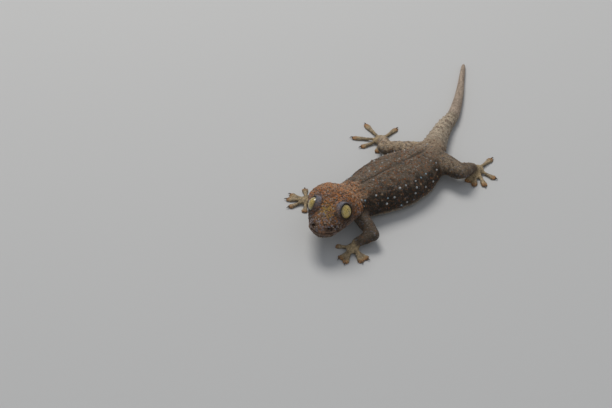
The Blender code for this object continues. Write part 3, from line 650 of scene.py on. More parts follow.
def markings(points, normals, local, jitter=0.0):
    # jitter shifts the edges of the flecks from scale to scale
    forward, side, up = headPlaces(points)
    index, length, left = spinePlaces(points)
    height = points[:, 2] / mm
    girth = spineRoute[index][:, 3]
    sideways = np.abs(left) / np.maximum(girth, 1e-4)
    broad, medium = cloud(points, 4.2, 2.0), cloud(points, 2.1, 3.0)
    fine, finer = cloud(points, 1.15, 4.0) + jitter, cloud(points, 1.3, 8.0) + jitter
    head, trunk = local["head"], local["trunk"]
    colours = np.tile(np.array(tone["back"]), (len(points), 1))
    # trunk: a browner back, near-black flanks with flecks, a pale fold and belly
    shoulder = ramp(length, stationShoulder + 6 * mm, stationShoulder - 12 * mm)
    # the dark flank reaches higher on the left side than on the right: painted shade for the side turned from the light
    edge = 0.16 * ramp(length, stationShoulder, stationLoin) - 0.05 * np.sign(left)
    dorsal = ramp(sideways + 0.10 * broad - edge, 0.90, 0.42) * ramp(height, 7, 12)
    colours = blend(colours, "ridge", dorsal * (0.75 - 0.25 * ramp(broad, 0.2, 1.0)))
    colours = blend(colours, "flank", (1 - dorsal) * 0.96)
    colours = blend(colours, "dark", ramp(medium, 0.8, 1.5) * 0.5)
    colours = blend(colours, "rust", ramp(fine, 0.50, 1.15) * (0.34 + 0.36 * dorsal))
    colours = blend(colours, "lilac", ramp(-finer, 1.2, 1.8) * ramp(medium, -0.4, 0.6) * 0.35)
    colours = blend(colours, "pale", ramp(-fine, 0.75, 1.45) * ramp(broad, -1.0, 0.3) * dorsal * 0.55)
    # painted shade in the groove down the middle of the back
    spineGrooveShade = bell(left / mm, 0.0, 0.75) * dorsal * trunk
    colours = blend(colours, "dark", spineGrooveShade * 0.6)
    rump = ramp(length, stationLoin + 6 * mm, stationVent + 6 * mm) * trunk
    colours = blend(colours, "rump", rump * (0.35 + 0.65 * dorsal) * ramp(height, 5, 11) * 0.8)
    sideFold = bell(height, 3.6, 1.0) * (sideways > 0.6) * trunk * shoulder
    colours = blend(colours, "cream", sideFold * ramp(length, stationLoin - 6 * mm, stationLoin) * 0.55)
    below = np.clip(ramp(normals[:, 2], -0.35, -0.75) + ramp(height, 2.4, 1.2), 0, 1)
    colours = blend(colours, "belly", below * 0.9)
    # tail: tan with dark specks, then the smooth regrown length with faint streaks and painted shade on its underside
    onTail = np.clip(ramp(length, stationVent + 9 * mm, stationVent - 8 * mm) * (trunk + local["tail"]), 0, 1)
    colours = blend(colours, "tail", onTail * (0.92 - 0.35 * ramp(broad, 0.3, 1.2)))
    colours = blend(colours, "streak", onTail * ramp(fine, 0.9, 1.5) * 0.55)
    colours = blend(colours, "flank", onTail * ramp(height, 5.0, 2.0) * 0.35)
    regrown = local["regrown"]
    colours = blend(colours, "regrown", regrown)
    stripes = np.sin(left / mm * 2.3 + 1.2 * cloud(points * np.array([0.25, 0.25, 1.0]), 3.0, 11.0))
    colours = blend(colours, "streak", regrown * (ramp(stripes, 0.3, 1.0) * 0.28 + ramp(medium, 1.0, 1.8) * 0.3))
    # painted shade on the lower sides and underside of the regrown tail
    colours = blend(colours, "streak", regrown * ramp(normals[:, 2], 0.1, -0.6) * 0.5)
    # limbs: pale and mottled on top, dark outside and below, yellowish feet with brown toe tips; the pale tops are
    # painted light and the dark outer and lower sides painted shade, with more painted shade on the left arm and leg
    for limb in limbNames:
        share, foot = local[limb], local[limb + "_foot"]
        colours = blend(colours, "limb", (share + foot) * 1.1)
        # painted shade: the left arm lies in the head's shadow and the left leg on the side turned from the light
        shade = {"arm_left": 0.74, "leg_left": 0.40}.get(limb, 0.0)
        colours = blend(colours, "limbLitTop", share * ramp(normals[:, 2] + 0.15 * broad, 0.40, 0.95) * (0.85 - shade))
        colours = blend(colours, "limbMottleAndShade", share * ramp(normals[:, 2] + 0.2 * broad, 0.50, -0.25) * 0.85)
        colours = blend(colours, "belly", share * ramp(normals[:, 2] + 0.1 * broad, -0.35, -0.85) * 0.8)
        colours = blend(colours, "limbMottleAndShade", share * ramp(medium + shade, 0.45, 1.2) * 0.6)
        colours = blend(colours, "limbMottleAndShade", share * shade * ramp(normals[:, 2], -0.6, -0.2))
        colours = blend(colours, "rust", share * ramp(fine, 1.1, 1.7) * 0.45)
        colours = blend(colours, "lilac", share * ramp(-finer, 1.3, 1.9) * 0.5)
        toe = toePlaces(points, limb)
        colours = blend(colours, "foot", foot * 1.15)
        colours = blend(colours, "web", foot * ramp(medium, 0.5, 1.3) * 0.55)
        colours = blend(colours, "toeTip", foot * ramp(toe, 0.74, 0.95) * 0.85)
        colours = blend(colours, "cream", foot * bell(toe, 0.62, 0.1) * 0.25)
    # head and nape: orange-brown with dark, lilac-grey and yellow flecks
    nape = ramp(length + 2.0 * mm * broad, stationShoulder - 4 * mm, stationShoulder + 2 * mm)
    nape = nape * ramp(sideways + 0.1 * broad, 0.95, 0.55) * ramp(height, 10, 15)
    onNeck = local["neck"] * ramp(height + broad, 10, 16)
    crown = np.clip(np.maximum(np.maximum(head, onNeck), nape * trunk), 0, 1)
    # the neck is darkened: partly its own dark skin, partly painted shade under the head
    colours = blend(colours, "flank", local["neck"] * 0.9)
    colours = blend(colours, "nape", crown)
    colours = blend(colours, "crown", head * ramp(forward, 1.0, 12.0))
    colours = blend(colours, "snout", head * ramp(forward + broad, 24.0, 30.0) * 0.85)
    # painted shade on the lower sides of the head
    colours = blend(colours, "cheek", head * ramp(up + 0.6 * broad, 11.5, 7.0) * 0.95)
    colours = blend(colours, "dark", crown * ramp(medium, 0.25, 1.0) * 0.56)
    low = 0.14 + 0.86 * ramp(up, 7.5, 12.5)
    colours = blend(colours, "orange", crown * low * ramp(fine, 0.15, 0.8) * (0.96 - 0.4 * ramp(forward, 24, 30)))
    colours = blend(colours, "dark", crown * ramp(finer, 0.70, 1.20) * 0.80)
    greyer = 0.9 + 0.4 * bell(forward, 27, 4) - 0.5 * ramp(forward, 14, 4) - 0.4 * ramp(forward, 32, 36)
    colours = blend(colours, "lilac", crown * ramp(-finer + 0.35 * broad, 1.05, 1.6) * greyer)
    colours = blend(colours, "cream", crown * ramp(-fine, 1.35, 1.85) * 0.75)
    brow = bell(forward, 25.0, 4.2) * bell(side, 0, 4.6) * ramp(up, 8, 11) * head
    colours = blend(colours, "yellow", brow * ramp(fine + 0.5 * medium, -0.2, 0.6) * 0.8)
    for name in eyes:
        along, off, far, crownSide = eyePlaces(points, name)
        near = (along > -0.5) * head
        colours = blend(colours, "cheek", near * bell(off, 6.2, 1.5) * (1 - crownSide) * 0.7)
        colours = blend(colours, "lilac", near * (bell(off, 5.5, 0.55) + 0.8 * bell(off, 7.35, 0.45)) * crownSide)
        colours = blend(colours, "dark", near * (bell(off, 6.45, 0.38) + 0.6 * bell(off, 8.4, 0.4)) * crownSide * 0.8)
        colours = blend(colours, "dark", near * ramp(off, 4.95, 4.7))
    mouth = mouthShare(forward) * head
    under = ramp(normals[:, 2] + 0.1 * medium, -0.15, -0.7)
    colours = blend(colours, "throat", head * np.maximum(ramp(up + 0.4 * medium, 4.2, 2.0), under * ramp(forward, 12, 6)))
    colours = blend(colours, "throat", local["neck"] * under * 0.9)
    colours = blend(colours, "lip", mouth * bell(up, mouthHeight(forward) - 0.2, 1.7) * 0.75)
    # painted shade in the mouth crease
    colours = blend(colours, "dark", mouth * bell(up, mouthHeight(forward), 0.30) * 0.95)
    # painted shade inside the ear openings and nostrils
    for kind, far in pits(points):
        colours = blend(colours, "dark", head * ramp(far, 1.15, 0.8))
    return np.clip(colours, 0.0, 1.0)


skinColours = markings(skin.co, skinNormals, regions)
writeColours(skinObject.data, "hide", skinColours)
print("markings laid")


def hideMaterial(name, settings):
    # hide: the markings, a finer mottling, a lighter top to each scale and a darker foot as painted light and painted
    # shade, and a dry, faintly waxy finish
    made = bpy.data.materials.new(name)
    made.use_nodes = True
    nodes, links = made.node_tree.nodes, made.node_tree.links
    shader = nodes["Principled BSDF"]
    marks = nodes.new("ShaderNodeAttribute")
    marks.attribute_name = "hide"
    where = nodes.new("ShaderNodeTexCoord")

    def texture(scale, detail):
        node = nodes.new("ShaderNodeTexNoise")
        node.inputs["Scale"].default_value, node.inputs["Detail"].default_value = scale, detail
        links.new(where.outputs["Object"], node.inputs["Vector"])
        return node.outputs["Fac"]

    def remap(value, low, high, fromLow=0.0, fromHigh=1.0):
        node = nodes.new("ShaderNodeMapRange")
        for socket, number in zip(node.inputs[1:5], (fromLow, fromHigh, low, high)):
            socket.default_value = number
        links.new(value, node.inputs["Value"])
        return node.outputs["Result"]

    mottle = texture(settings["mottleScale"], 3.0)
    rise = nodes.new("ShaderNodeAttribute")
    rise.attribute_name = "rise"
    both = nodes.new("ShaderNodeMath")
    both.operation = "MULTIPLY"
    links.new(remap(mottle, 1 - settings["mottle"], 1 + settings["mottle"], 0.3, 0.7), both.inputs[0])
    # painted shade at each scale's foot and painted light on its top; the skin between the scales takes the foot's
    # painted shade
    links.new(remap(rise.outputs["Fac"], settings["footShade"], settings["topLight"]), both.inputs[1])
    tint = nodes.new("ShaderNodeVectorMath")
    tint.operation = "SCALE"
    links.new(marks.outputs["Color"], tint.inputs[0])
    links.new(both.outputs["Value"], tint.inputs["Scale"])
    links.new(tint.outputs["Vector"], shader.inputs["Base Color"])
    links.new(remap(mottle, settings["roughLow"], settings["roughHigh"]), shader.inputs["Roughness"])
    shader.inputs["Specular IOR Level"].default_value = settings["specular"]
    bump = nodes.new("ShaderNodeBump")
    bump.inputs["Strength"].default_value = settings["bump"]
    bump.inputs["Distance"].default_value = 0.0001
    links.new(texture(settings["grainScale"], 2.0), bump.inputs["Height"])
    links.new(bump.outputs["Normal"], shader.inputs["Normal"])
    return made


skinHide = hideMaterial("skinBetweenScales", {
    "mottleScale": 900.0, "mottle": 0.2, "footShade": 0.55, "topLight": 0.55,
    "roughLow": 0.6, "roughHigh": 0.85, "specular": 0.3, "grainScale": 6000.0, "bump": 0.6,
})
scaleHide = hideMaterial("scaleHorn", {
    "mottleScale": 1100.0, "mottle": 0.20, "footShade": 0.45, "topLight": 1.12,
    "roughLow": 0.40, "roughHigh": 0.66, "specular": 0.42, "grainScale": 9000.0, "bump": 0.35,
})
plateHide = hideMaterial("lipPlateHorn", {
    "mottleScale": 1400.0, "mottle": 0.24, "footShade": 0.6, "topLight": 1.1,
    "roughLow": 0.34, "roughHigh": 0.55, "specular": 0.45, "grainScale": 7000.0, "bump": 0.3,
})
skinObject.data.materials.append(skinHide)
skinObject.data.shade_smooth()
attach(skinObject, "root")
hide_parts(*fleshNodes)


# unwrap of the skin, which the scales take their bake places from
def unwrapSkin():
    bpy.context.view_layer.objects.active = skinObject
    for obj in bpy.context.selected_objects:
        obj.select_set(False)
    skinObject.select_set(True)
    bpy.ops.object.mode_set(mode="EDIT")
    bpy.ops.mesh.select_all(action="SELECT")
    bpy.ops.uv.smart_project(angle_limit=math.radians(66), island_margin=0.002)
    bpy.ops.object.mode_set(mode="OBJECT")
    layer = skinObject.data.uv_layers.active
    layer.name = "OFBake"
    corners = np.empty(len(skinObject.data.loops) * 2, np.float32)
    layer.data.foreach_get("uv", corners)
    return corners.reshape(-1, 2)


skinUv = unwrapSkin()
print("skin unwrapped")


def shapeOf(name, bm):
    # a small shape to be repeated, with a note of how high each vertex stands
    bmesh.ops.recalc_face_normals(bm, faces=bm.faces)
    mesh = meshFrom(bm, name)
    high = readPoints(mesh)[:, 2]
    layer = mesh.attributes.new("rise", "FLOAT", "POINT")
    layer.data.foreach_set("value", np.clip(high / max(high.max(), 1e-6), 0, 1).astype(np.float32))
    obj = newObject(name, mesh)
    obj.hide_render = obj.hide_viewport = True
    return obj


def granuleShape():
    # a low eight-sided bead: a rounded cone with its top drawn up
    bm = bmesh.new()
    bmesh.ops.create_cone(bm, cap_ends=True, segments=8, radius1=1.0, radius2=0.70, depth=1.0)
    bmesh.ops.translate(bm, vec=(0, 0, 0.12), verts=bm.verts)
    top = [f for f in bm.faces if f.normal.z > 0.9]
    middle = bmesh.ops.poke(bm, faces=top)["verts"]
    bmesh.ops.translate(bm, vec=(0, 0, 0.38), verts=middle)
    return shapeOf("granuleShape", bm)


def leafShape():
    # a flatter scale whose rear edge lifts over the next one
    bm = bmesh.new()
    bmesh.ops.create_cone(bm, cap_ends=True, segments=8, radius1=1.0, radius2=0.78, depth=1.0)
    bmesh.ops.translate(bm, vec=(0, 0, 0.12), verts=bm.verts)
    top = [f for f in bm.faces if f.normal.z > 0.9]
    middle = bmesh.ops.poke(bm, faces=top)["verts"]
    bmesh.ops.translate(bm, vec=(0.25, 0, 0.38), verts=middle)
    bmesh.ops.rotate(bm, cent=(0, 0, 0), matrix=Matrix.Rotation(-0.24, 3, "Y"), verts=bm.verts)
    bmesh.ops.scale(bm, vec=(1.14, 1.0, 1.0), verts=bm.verts)
    return shapeOf("leafShape", bm)


def tubercleShape():
    # a blunt cone, keeled towards the tail, with a spread foot
    bm = bmesh.new()
    bmesh.ops.create_uvsphere(bm, u_segments=10, v_segments=8, radius=1.0)
    for vert in bm.verts:
        high = max(vert.co.z, 0.0)
        narrow = 1.0 - 0.54 * high ** 0.75
        vert.co.x = vert.co.x * narrow * 1.08 + 0.22 * high
        vert.co.y *= narrow
    return shapeOf("tubercleShape", bm)


def plateShape():
    # a cushioned plate, squarish from above
    bm = bmesh.new()
    bmesh.ops.create_uvsphere(bm, u_segments=16, v_segments=8, radius=1.0)
    for vert in bm.verts:
        x, y, z = vert.co
        flat = math.hypot(x, y)
        square = max(abs(x), abs(y)) / flat if flat > 1e-6 else 1.0
        grown = flat ** 0.55 / max(flat, 1e-6) / square ** 0.8
        vert.co = Vector((x * grown, y * grown, z))
    return shapeOf("plateShape", bm)


granule, leaf, tubercle, plate = granuleShape(), leafShape(), tubercleShape(), plateShape()


def instanceTree(name, prototype):
    # puts the prototype on every point, standing on its normal and lying its way
    tree = bpy.data.node_groups.new(name, "GeometryNodeTree")
    tree.interface.new_socket("Geometry", in_out="INPUT", socket_type="NodeSocketGeometry")
    tree.interface.new_socket("Geometry", in_out="OUTPUT", socket_type="NodeSocketGeometry")
    nodes, links = tree.nodes, tree.links
    start, end = nodes.new("NodeGroupInput"), nodes.new("NodeGroupOutput")
    shape = nodes.new("GeometryNodeObjectInfo")
    shape.inputs["Object"].default_value = prototype

    def attribute(label):
        node = nodes.new("GeometryNodeInputNamedAttribute")
        node.data_type = "FLOAT_VECTOR"
        node.inputs["Name"].default_value = label
        return node.outputs["Attribute"]

    stand = nodes.new("FunctionNodeAlignRotationToVector")
    stand.axis = "Z"
    links.new(attribute("stand"), stand.inputs["Vector"])
    lie = nodes.new("FunctionNodeAlignRotationToVector")
    lie.axis, lie.pivot_axis = "X", "Z"
    links.new(stand.outputs["Rotation"], lie.inputs["Rotation"])
    links.new(attribute("lie"), lie.inputs["Vector"])
    put = nodes.new("GeometryNodeInstanceOnPoints")
    links.new(start.outputs["Geometry"], put.inputs["Points"])
    links.new(shape.outputs["Geometry"], put.inputs["Instance"])
    links.new(lie.outputs["Rotation"], put.inputs["Rotation"])
    links.new(attribute("size"), put.inputs["Scale"])
    real = nodes.new("GeometryNodeRealizeInstances")
    links.new(put.outputs["Instances"], real.inputs["Geometry"])
    links.new(real.outputs["Geometry"], end.inputs["Geometry"])
    return tree


def growOnSkin(name, prototype, made, material):
    # one joined mesh of many like pieces; made holds place, stand, lie, size, hide and uv of each
    points = bpy.data.meshes.new(name)
    points.vertices.add(len(made["place"]))
    writePoints(points, made["place"])
    for label in ("stand", "lie", "size"):
        layer = points.attributes.new(label, "FLOAT_VECTOR", "POINT")
        layer.data.foreach_set("vector", np.ascontiguousarray(made[label], np.float32).ravel())
    writeColours(points, "hide", made["hide"])
    piece = newObject(name, points)
    modifier = piece.modifiers.new("grow", "NODES")
    modifier.node_group = instanceTree(name + "Tree", prototype)
    mesh = applied(piece).data
    corners = len(prototype.data.vertices)
    local = readPoints(prototype.data)[:, :2]
    local = local / max(np.abs(local).max(), 1e-6) * 0.0015
    order = np.empty(len(mesh.loops), np.int32)
    mesh.loops.foreach_get("vertex_index", order)
    uv = made["uv"][order // corners] + local[order % corners]
    layer = mesh.uv_layers.new(name="OFBake")
    layer.data.foreach_set("uv", np.ascontiguousarray(uv, np.float32).ravel())
    for label in ("stand", "lie", "size"):
        if label in mesh.attributes:
            mesh.attributes.remove(mesh.attributes[label])
    co = readPoints(mesh)
    co[:, 2] = np.maximum(co[:, 2], 0.0)
    writePoints(mesh, co)
    mesh.materials.clear()
    mesh.materials.append(material)
    mesh.shade_smooth()
    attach(piece, "root")
    print(name, len(made["place"]), "pieces,", sum(len(f.vertices) - 2 for f in mesh.polygons), "triangles")
    return piece


def limbLie(points, limb):
    # the way scales point on a limb: along the bone they lie nearest to, or along the nearest toe
    line = [place(p) for p in layout["limbs"][limb]]
    palm, toes = layout["feet"][limb]
    palm = place((*palm, 1.0))
    pieces = [(line[0], line[1]), (line[1], line[2]), (line[2], palm)]
    for length, degrees in toes:
        pieces.append((palm + heading(degrees) * 2 * mm, palm + heading(degrees) * length * mm))
    best = np.full(len(points), 1e9)
    lie = np.zeros((len(points), 3))
    for start, end in pieces:
        along = np.array(end - start)
        t = np.clip(((points - np.array(start)) @ along) / (along @ along), 0, 1)
        far = np.linalg.norm(points - (np.array(start) + t[:, None] * along), axis=1)
        closer = far < best
        best[closer] = far[closer]
        lie[closer] = along / np.linalg.norm(along)
    return lie


def lieOf(points, local):
    # which way scales point: to the tail on the body, to the toes on the limbs
    index, _, _ = spinePlaces(points)
    lie = np.c_[-spineAhead[index], np.zeros(len(points))]
    for limb in limbNames:
        share = (local[limb] + local[limb + "_foot"]) > 0.5
        if share.any():
            lie[share] = limbLie(points[share], limb)
    return lie


def rootsAt(points, faces, sizes, spread=0.0, stand=None, lie=None, shade=0.0):
    # everything that growOnSkin needs for pieces of the given sizes (long, wide, high)
    local = {name: faceMean(faces, values) for name, values in regions.items()}
    normal = faceMean(faces, skinNormals)
    stand = normal if stand is None else stand
    stand = stand / np.linalg.norm(stand, axis=1)[:, None]
    lie = lieOf(points, local) if lie is None else lie
    number = len(points)
    sizes = np.asarray(sizes) * mm * draw.uniform(1 - spread, 1 + spread, (number, 3))
    hide = markings(points, normal, local, draw.normal(0, 0.45, number))
    hide = hide * (1 + draw.uniform(-1, 1, number) * shade)[:, None]
    start = faceStarts[faces]
    uv = (skinUv[start] + skinUv[start + 1] + skinUv[start + 2]) / 3
    return {
        "place": points, "stand": stand, "lie": lie, "size": sizes,
        "hide": np.clip(hide, 0, 1), "uv": uv, "regions": local,
    }


def subset(made, mask):
    return {
        key: value[mask] if isinstance(value, np.ndarray) else {n: v[mask] for n, v in value.items()}
        for key, value in made.items()
    }


# lips: a row of plates above and below the mouth line, a wide one at the tip of the snout
lips = {
    "up": {"upper": 0.92, "lower": -0.80}, "half": {"upper": 0.84, "lower": 0.72}, "thick": 0.24,
    "tipWidth": {"upper": 2.2, "lower": 1.8}, "stepFront": 1.95, "stepRear": 1.15,
    "colours": [("lip", 0.40), ("lilac", 0.15), ("rust", 0.12), ("cheek", 0.22)],
}


def lipPath(row):
    # points and faces along a row, from the tip of the snout to each corner of the mouth
    routes = []
    for sign in (1, -1):
        route = []
        for k in range(160):
            angle = min(k * 1.5, 90.0)
            back = 0.0 if k <= 60 else (k - 60) * 0.21
            forward = 30.0 - back
            guess = forward + 7.0 * math.cos(math.radians(angle))
            if guess < layout["mouthCorner"] + 0.4:
                break
            height = float(mouthHeight(min(guess, layout["headLength"]))) + lips["up"][row]
            way = headAhead * math.cos(math.radians(angle)) + headLeft * sign * math.sin(math.radians(angle))
            spot, normal, face, far = skinTree.ray_cast(headPoint(forward, 0, height), way)
            if spot is not None:
                route.append((np.array(spot), face))
        routes.append(route)
    return routes


def lipRow(row):
    spots, faces, lies, sizes = [], [], [], []
    for sign, route in zip((1, -1), lipPath(row)):
        points = np.array([p for p, _ in route])
        step = np.linalg.norm(np.diff(points, axis=0), axis=1) / mm
        length = np.concatenate([[0], np.cumsum(step)])
        at, wide = 0.0, lips["tipWidth"][row]
        if sign < 0:
            at, wide = wide / 2 + lips["stepFront"] / 2, lips["stepFront"]
        while at < length[-1]:
            k = min(int(np.searchsorted(length, at)), len(points) - 2)
            spots.append(points[k])
            faces.append(route[k][1])
            lies.append(points[k + 1] - points[max(k - 1, 0)])
            sizes.append((wide * 0.5 * 1.02, lips["half"][row] * (1 - 0.3 * at / length[-1]), lips["thick"]))
            following = lips["stepFront"] + (lips["stepRear"] - lips["stepFront"]) * at / length[-1]
            at += wide / 2 + following / 2
            wide = following
    return np.array(spots), np.array(faces), np.array(lies), np.array(sizes)


def growLips():
    blocked = []
    for row, slot in (("upper", "head_hide"), ("lower", "jaw_hide")):
        spots, faces, lies, sizes = lipRow(row)
        made = rootsAt(spots, faces, sizes, 0.08, lie=lies, shade=0.28)
        pick, start = draw.random(len(spots)), 0.0
        for name, part in lips["colours"]:
            chosen = ((pick >= start) & (pick < start + part))[:, None]
            made["hide"] = np.where(chosen, made["hide"] * 0.68 + np.array(tone[name]) * 0.32, made["hide"])
            start += part
        growOnSkin("lip_plates_" + row, plate, made, plateHide)
        for spot, lie, size in zip(spots, lies, sizes):
            lie = lie / np.linalg.norm(lie) * mm
            blocked += [(spot + lie * size[0] * share, 0.66) for share in (-0.55, 0.0, 0.55)]
    return blocked


# eyelids: beads on the rim of each eye's opening, an inner dark ring and an outer grey one
lids = {
    # beads in the ring, off the axis, along it, and half sizes
    "rings": [(50, 4.72, 3.12, 0.30, 0.26), (46, 5.30, 3.34, 0.38, 0.28)],
}


def growLids():
    blocked = []
    for side in eyes:
        centre, look, front, top = eyes[side]
        spots, stands, sizes, ring = [], [], [], []
        for order, (count, off, along, half, high) in enumerate(lids["rings"]):
            for k in range(count):
                angle = 2 * math.pi * (k + 0.5 * order) / count
                out = front * math.cos(angle) + top * math.sin(angle)
                spots.append(centre + (look * along + out * off) * mm)
                stands.append(look - out * (0.35 if order == 0 else -0.1))
                sizes.append((half, half, high))
                ring.append(order)
        spots, stands, ring = np.array(spots), np.array(stands), np.array(ring)
        spots, faces = onSkin(spots)
        made = rootsAt(spots, faces, sizes, 0.08, stand=stands, shade=0.2)
        crown = eyePlaces(spots, side)[3]
        inner = np.array(tone["cheek"]) * 0.7
        outer = np.array(tone["cheek"]) * (1 - crown[:, None]) + np.array(tone["lilac"]) * crown[:, None]
        made["hide"] = np.where((ring == 0)[:, None], inner, outer * draw.uniform(0.7, 1.15, len(ring))[:, None])
        growOnSkin("eyelid_" + side, granule, made, scaleHide)
        blocked += [(spot, 0.42) for spot in spots]
    return blocked


# snout: rings of larger scales round the nostrils, and two shields behind the middle of the chin
snout = {"ringCount": 7, "ringRadius": 1.12, "ringHalf": 0.50, "chin": [(34.2, 1.15), (34.2, -1.15)]}


def growSnout():
    spots, sizes, stands = [], [], []
    for sign in (1, -1):
        guess = headPoint(layout["nostrilForward"], sign * 9.0, layout["nostrilUp"])
        spot, normal, face, far = skinTree.ray_cast(guess, -headLeft * sign)
        middle = spot if spot is not None else guess
        normal = (headLeft * sign * 0.75 + headAhead * 0.5 + headAbove * 0.25).normalized()
        first = normal.cross(headAbove).normalized()
        second = normal.cross(first)
        for k in range(snout["ringCount"]):
            angle = 2 * math.pi * k / snout["ringCount"]
            out = first * math.cos(angle) + second * math.sin(angle)
            spots.append(middle + out * snout["ringRadius"] * mm + normal * 1.0 * mm)
            sizes.append((snout["ringHalf"], snout["ringHalf"], 0.30))
            stands.append(normal + out * 0.25)
    for forward, side in snout["chin"]:
        spot, *_ = skinTree.ray_cast(headPoint(forward, side, -4.0), headAbove)
        if spot is not None:
            spots.append(spot)
            sizes.append((1.25, 0.95, 0.26))
            stands.append(-headAbove)
    spots, faces = onSkin(spots)
    made = rootsAt(spots, faces, sizes, 0.06, stand=np.array(stands), shade=0.15)
    growOnSkin("snout_scales", granule, made, plateHide)
    return [(spot, size[1] * 0.85) for spot, size in zip(spots, sizes)]


# tubercles: rows of low, blunt cones from the nape to the regrown tail, and loose ones elsewhere
tubercles = {
    # degrees round the body from its left side over the back
    "rows": [-8, 8, 24, 40, 55, 69, 82, 98, 111, 125, 140, 156, 172, 188],
    "step": 4.3, "jitter": 0.6, "radius": 0.78, "height": 0.84,
    "tailRows": [5, 35, 62, 90, 118, 145, 175], "tailRadius": 0.66,
    "foldRows": [-23, 203], "foldStep": 1.75, "foldRadius": 0.62, "looseRadius": 0.56,
}


def castFromSpine(at, degrees, reach=1.25):
    # the skin's point at a length along the midline and an angle round it
    index = min(int(np.searchsorted(spineLength, at)), len(spineRoute) - 1)
    x, y, _, half, top = spineRoute[index]
    ahead = spineAhead[index]
    angle = math.radians(degrees)
    left = Vector((-ahead[1], ahead[0], 0.0))
    way = left * (math.cos(angle) * half) + Vector((0, 0, 1)) * (math.sin(angle) * top * 0.58)
    spot, normal, face, far = skinTree.ray_cast(Vector((x, y, top * 0.42)), way.normalized())
    if spot is None or far > way.length * reach or spot.z < 2.0 * mm:
        return None
    body = regions["trunk"] + regions["tail"] + regions["neck"]
    return np.array(spot) if body[faceCorners[face]].mean() > 0.85 else None


def sparse(mask, gap):
    # skin points of the mask, none nearer to another than the gap
    chosen = np.nonzero(mask)[0]
    draw.shuffle(chosen)
    kept = np.zeros((0, 3))
    for vertex in chosen:
        point = skin.co[vertex]
        if not len(kept) or np.min(np.linalg.norm(kept - point, axis=1)) > gap * mm:
            kept = np.vstack([kept, point])
    return kept


def tubercleSpots():
    spots, radii, kinds = [], [], []

    def add(spot, radius, kind):
        if spot is not None:
            spots.append(spot)
            radii.append(radius)
            kinds.append(kind)

    for row, degrees in enumerate(tubercles["rows"]):
        at = stationVent + (tubercles["step"] / 2 if row % 2 else 0.0) * mm
        while at < stationNeck - 1.0 * mm:
            at += tubercles["step"] * mm
            where = at + draw.uniform(-1, 1) * tubercles["jitter"] * mm
            onFlank = abs(degrees - 90) > 40
            spot = castFromSpine(where, degrees + draw.uniform(-2.5, 2.5))
            add(spot, tubercles["radius"] * draw.uniform(0.72, 1.12), "flank" if onFlank else "back")
    whorl = folds["whorlStep"] * mm
    at = math.ceil(stationRegrowth / whorl) * whorl
    while at < stationVent + 2 * mm:
        for degrees in tubercles["tailRows"]:
            spot = castFromSpine(at + draw.uniform(-0.3, 0.3) * mm, degrees + draw.uniform(-3, 3), 1.5)
            add(spot, tubercles["tailRadius"] * draw.uniform(0.85, 1.2), "tail")
        at += whorl
    for degrees in tubercles["foldRows"]:
        at = stationLoin - 6 * mm
        while at < stationShoulder - 1 * mm:
            at += tubercles["foldStep"] * mm * draw.uniform(0.92, 1.08)
            spot = castFromSpine(at, degrees + draw.uniform(-1, 1), 1.5)
            add(spot, tubercles["foldRadius"] * draw.uniform(0.85, 1.15), "fold")
    forward, side, up = headPlaces(skin.co)
    rear = (regions["head"] > 0.6) & (forward < 14) & (up > 7) | (regions["neck"] > 0.7) & (skin.co[:, 2] > 13 * mm)
    for kind, far in pits(skin.co):
        rear &= far > 2.2
    legs = (regions["leg_left"] + regions["leg_right"] > 0.9) & (skinNormals[:, 2] > 0.05)
    arms = (regions["arm_left"] + regions["arm_right"] > 0.9) & (skinNormals[:, 2] > 0.3)
    for mask, gap, scale, kind in ((rear, 3.0, 0.95, "nape"), (legs, 3.3, 1.0, "limb"), (arms, 4.2, 0.8, "limb")):
        for point in sparse(mask, gap):
            add(point, tubercles["looseRadius"] * scale * draw.uniform(0.85, 1.15), kind)
    return np.array(spots), np.array(radii), np.array(kinds)


tubercleTones = {
    "white": (0.72, 0.75, 0.76), "blue": (0.42, 0.58, 0.68), "tan": (0.33, 0.22, 0.13),
    "rust": (0.27, 0.10, 0.035), "cream": (0.50, 0.43, 0.33), "grey": (0.24, 0.23, 0.24),
}
tubercleMix = {  # chance of each colour, and how much of it shows over the hide
    "flank": ([("white", 0.24), ("blue", 0.12), ("tan", 0.12), ("rust", 0.16)], 0.88),
    "back": ([("white", 0.05), ("grey", 0.12), ("tan", 0.30), ("rust", 0.36)], 0.65),
    "tail": ([("cream", 0.45), ("tan", 0.35)], 0.6),
    "fold": ([("cream", 0.62), ("tan", 0.30)], 0.8),
    "nape": ([("rust", 0.35), ("tan", 0.30), ("grey", 0.15)], 0.7),
    "limb": ([("cream", 0.25), ("tan", 0.30), ("grey", 0.20)], 0.6),
}


def growTubercles():
    spots, radii, kinds = tubercleSpots()
    spots, faces = onSkin(spots)
    sizes = np.c_[radii, radii, radii * tubercles["height"]]
    made = rootsAt(spots, faces, sizes, 0.06, shade=0.2)
    pick = draw.random(len(spots))
    for kind, (colours, strength) in tubercleMix.items():
        start = 0.0
        for name, part in colours:
            chosen = ((kinds == kind) & (pick >= start) & (pick < start + part))[:, None]
            shade = np.array(tubercleTones[name]) * draw.uniform(0.7, 1.1, len(spots))[:, None]
            made["hide"] = np.where(chosen, made["hide"] * (1 - strength) + shade * strength, made["hide"])
            start += part
    growOnSkin("tubercles", tubercle, made, scaleHide)
    return list(zip(spots, radii))


blocked = growLips() + growLids() + growSnout() + growTubercles()
blockedAt = np.array([spot for spot, _ in blocked])
blockedRadius = np.array([radius for _, radius in blocked])
blockedTree = pointTree(blockedAt)

# granules: scattered by area, then pushed apart until they pack
packing = {
    "rounds": 16, "near": 7, "strength": 0.42, "bare": 0.92, "bareGap": 0.7, "tipShrink": 0.45, "tipCap": 0.32,
    # spacing of the scales by place
    "crown": 0.66, "snout": 0.86, "cheek": 0.76, "throat": 0.76, "neck": 0.74, "lids": 0.62,
    "back": 0.76, "flank": 0.80, "belly": 1.38, "tail": 0.98, "regrown": 0.88,
    "limb": 0.86, "foot": 0.72,
    # half sizes as shares of the spacing
    "across": 0.60, "height": 0.25, "spread": 0.10, "shade": 0.22, "lean": 0.07,
}


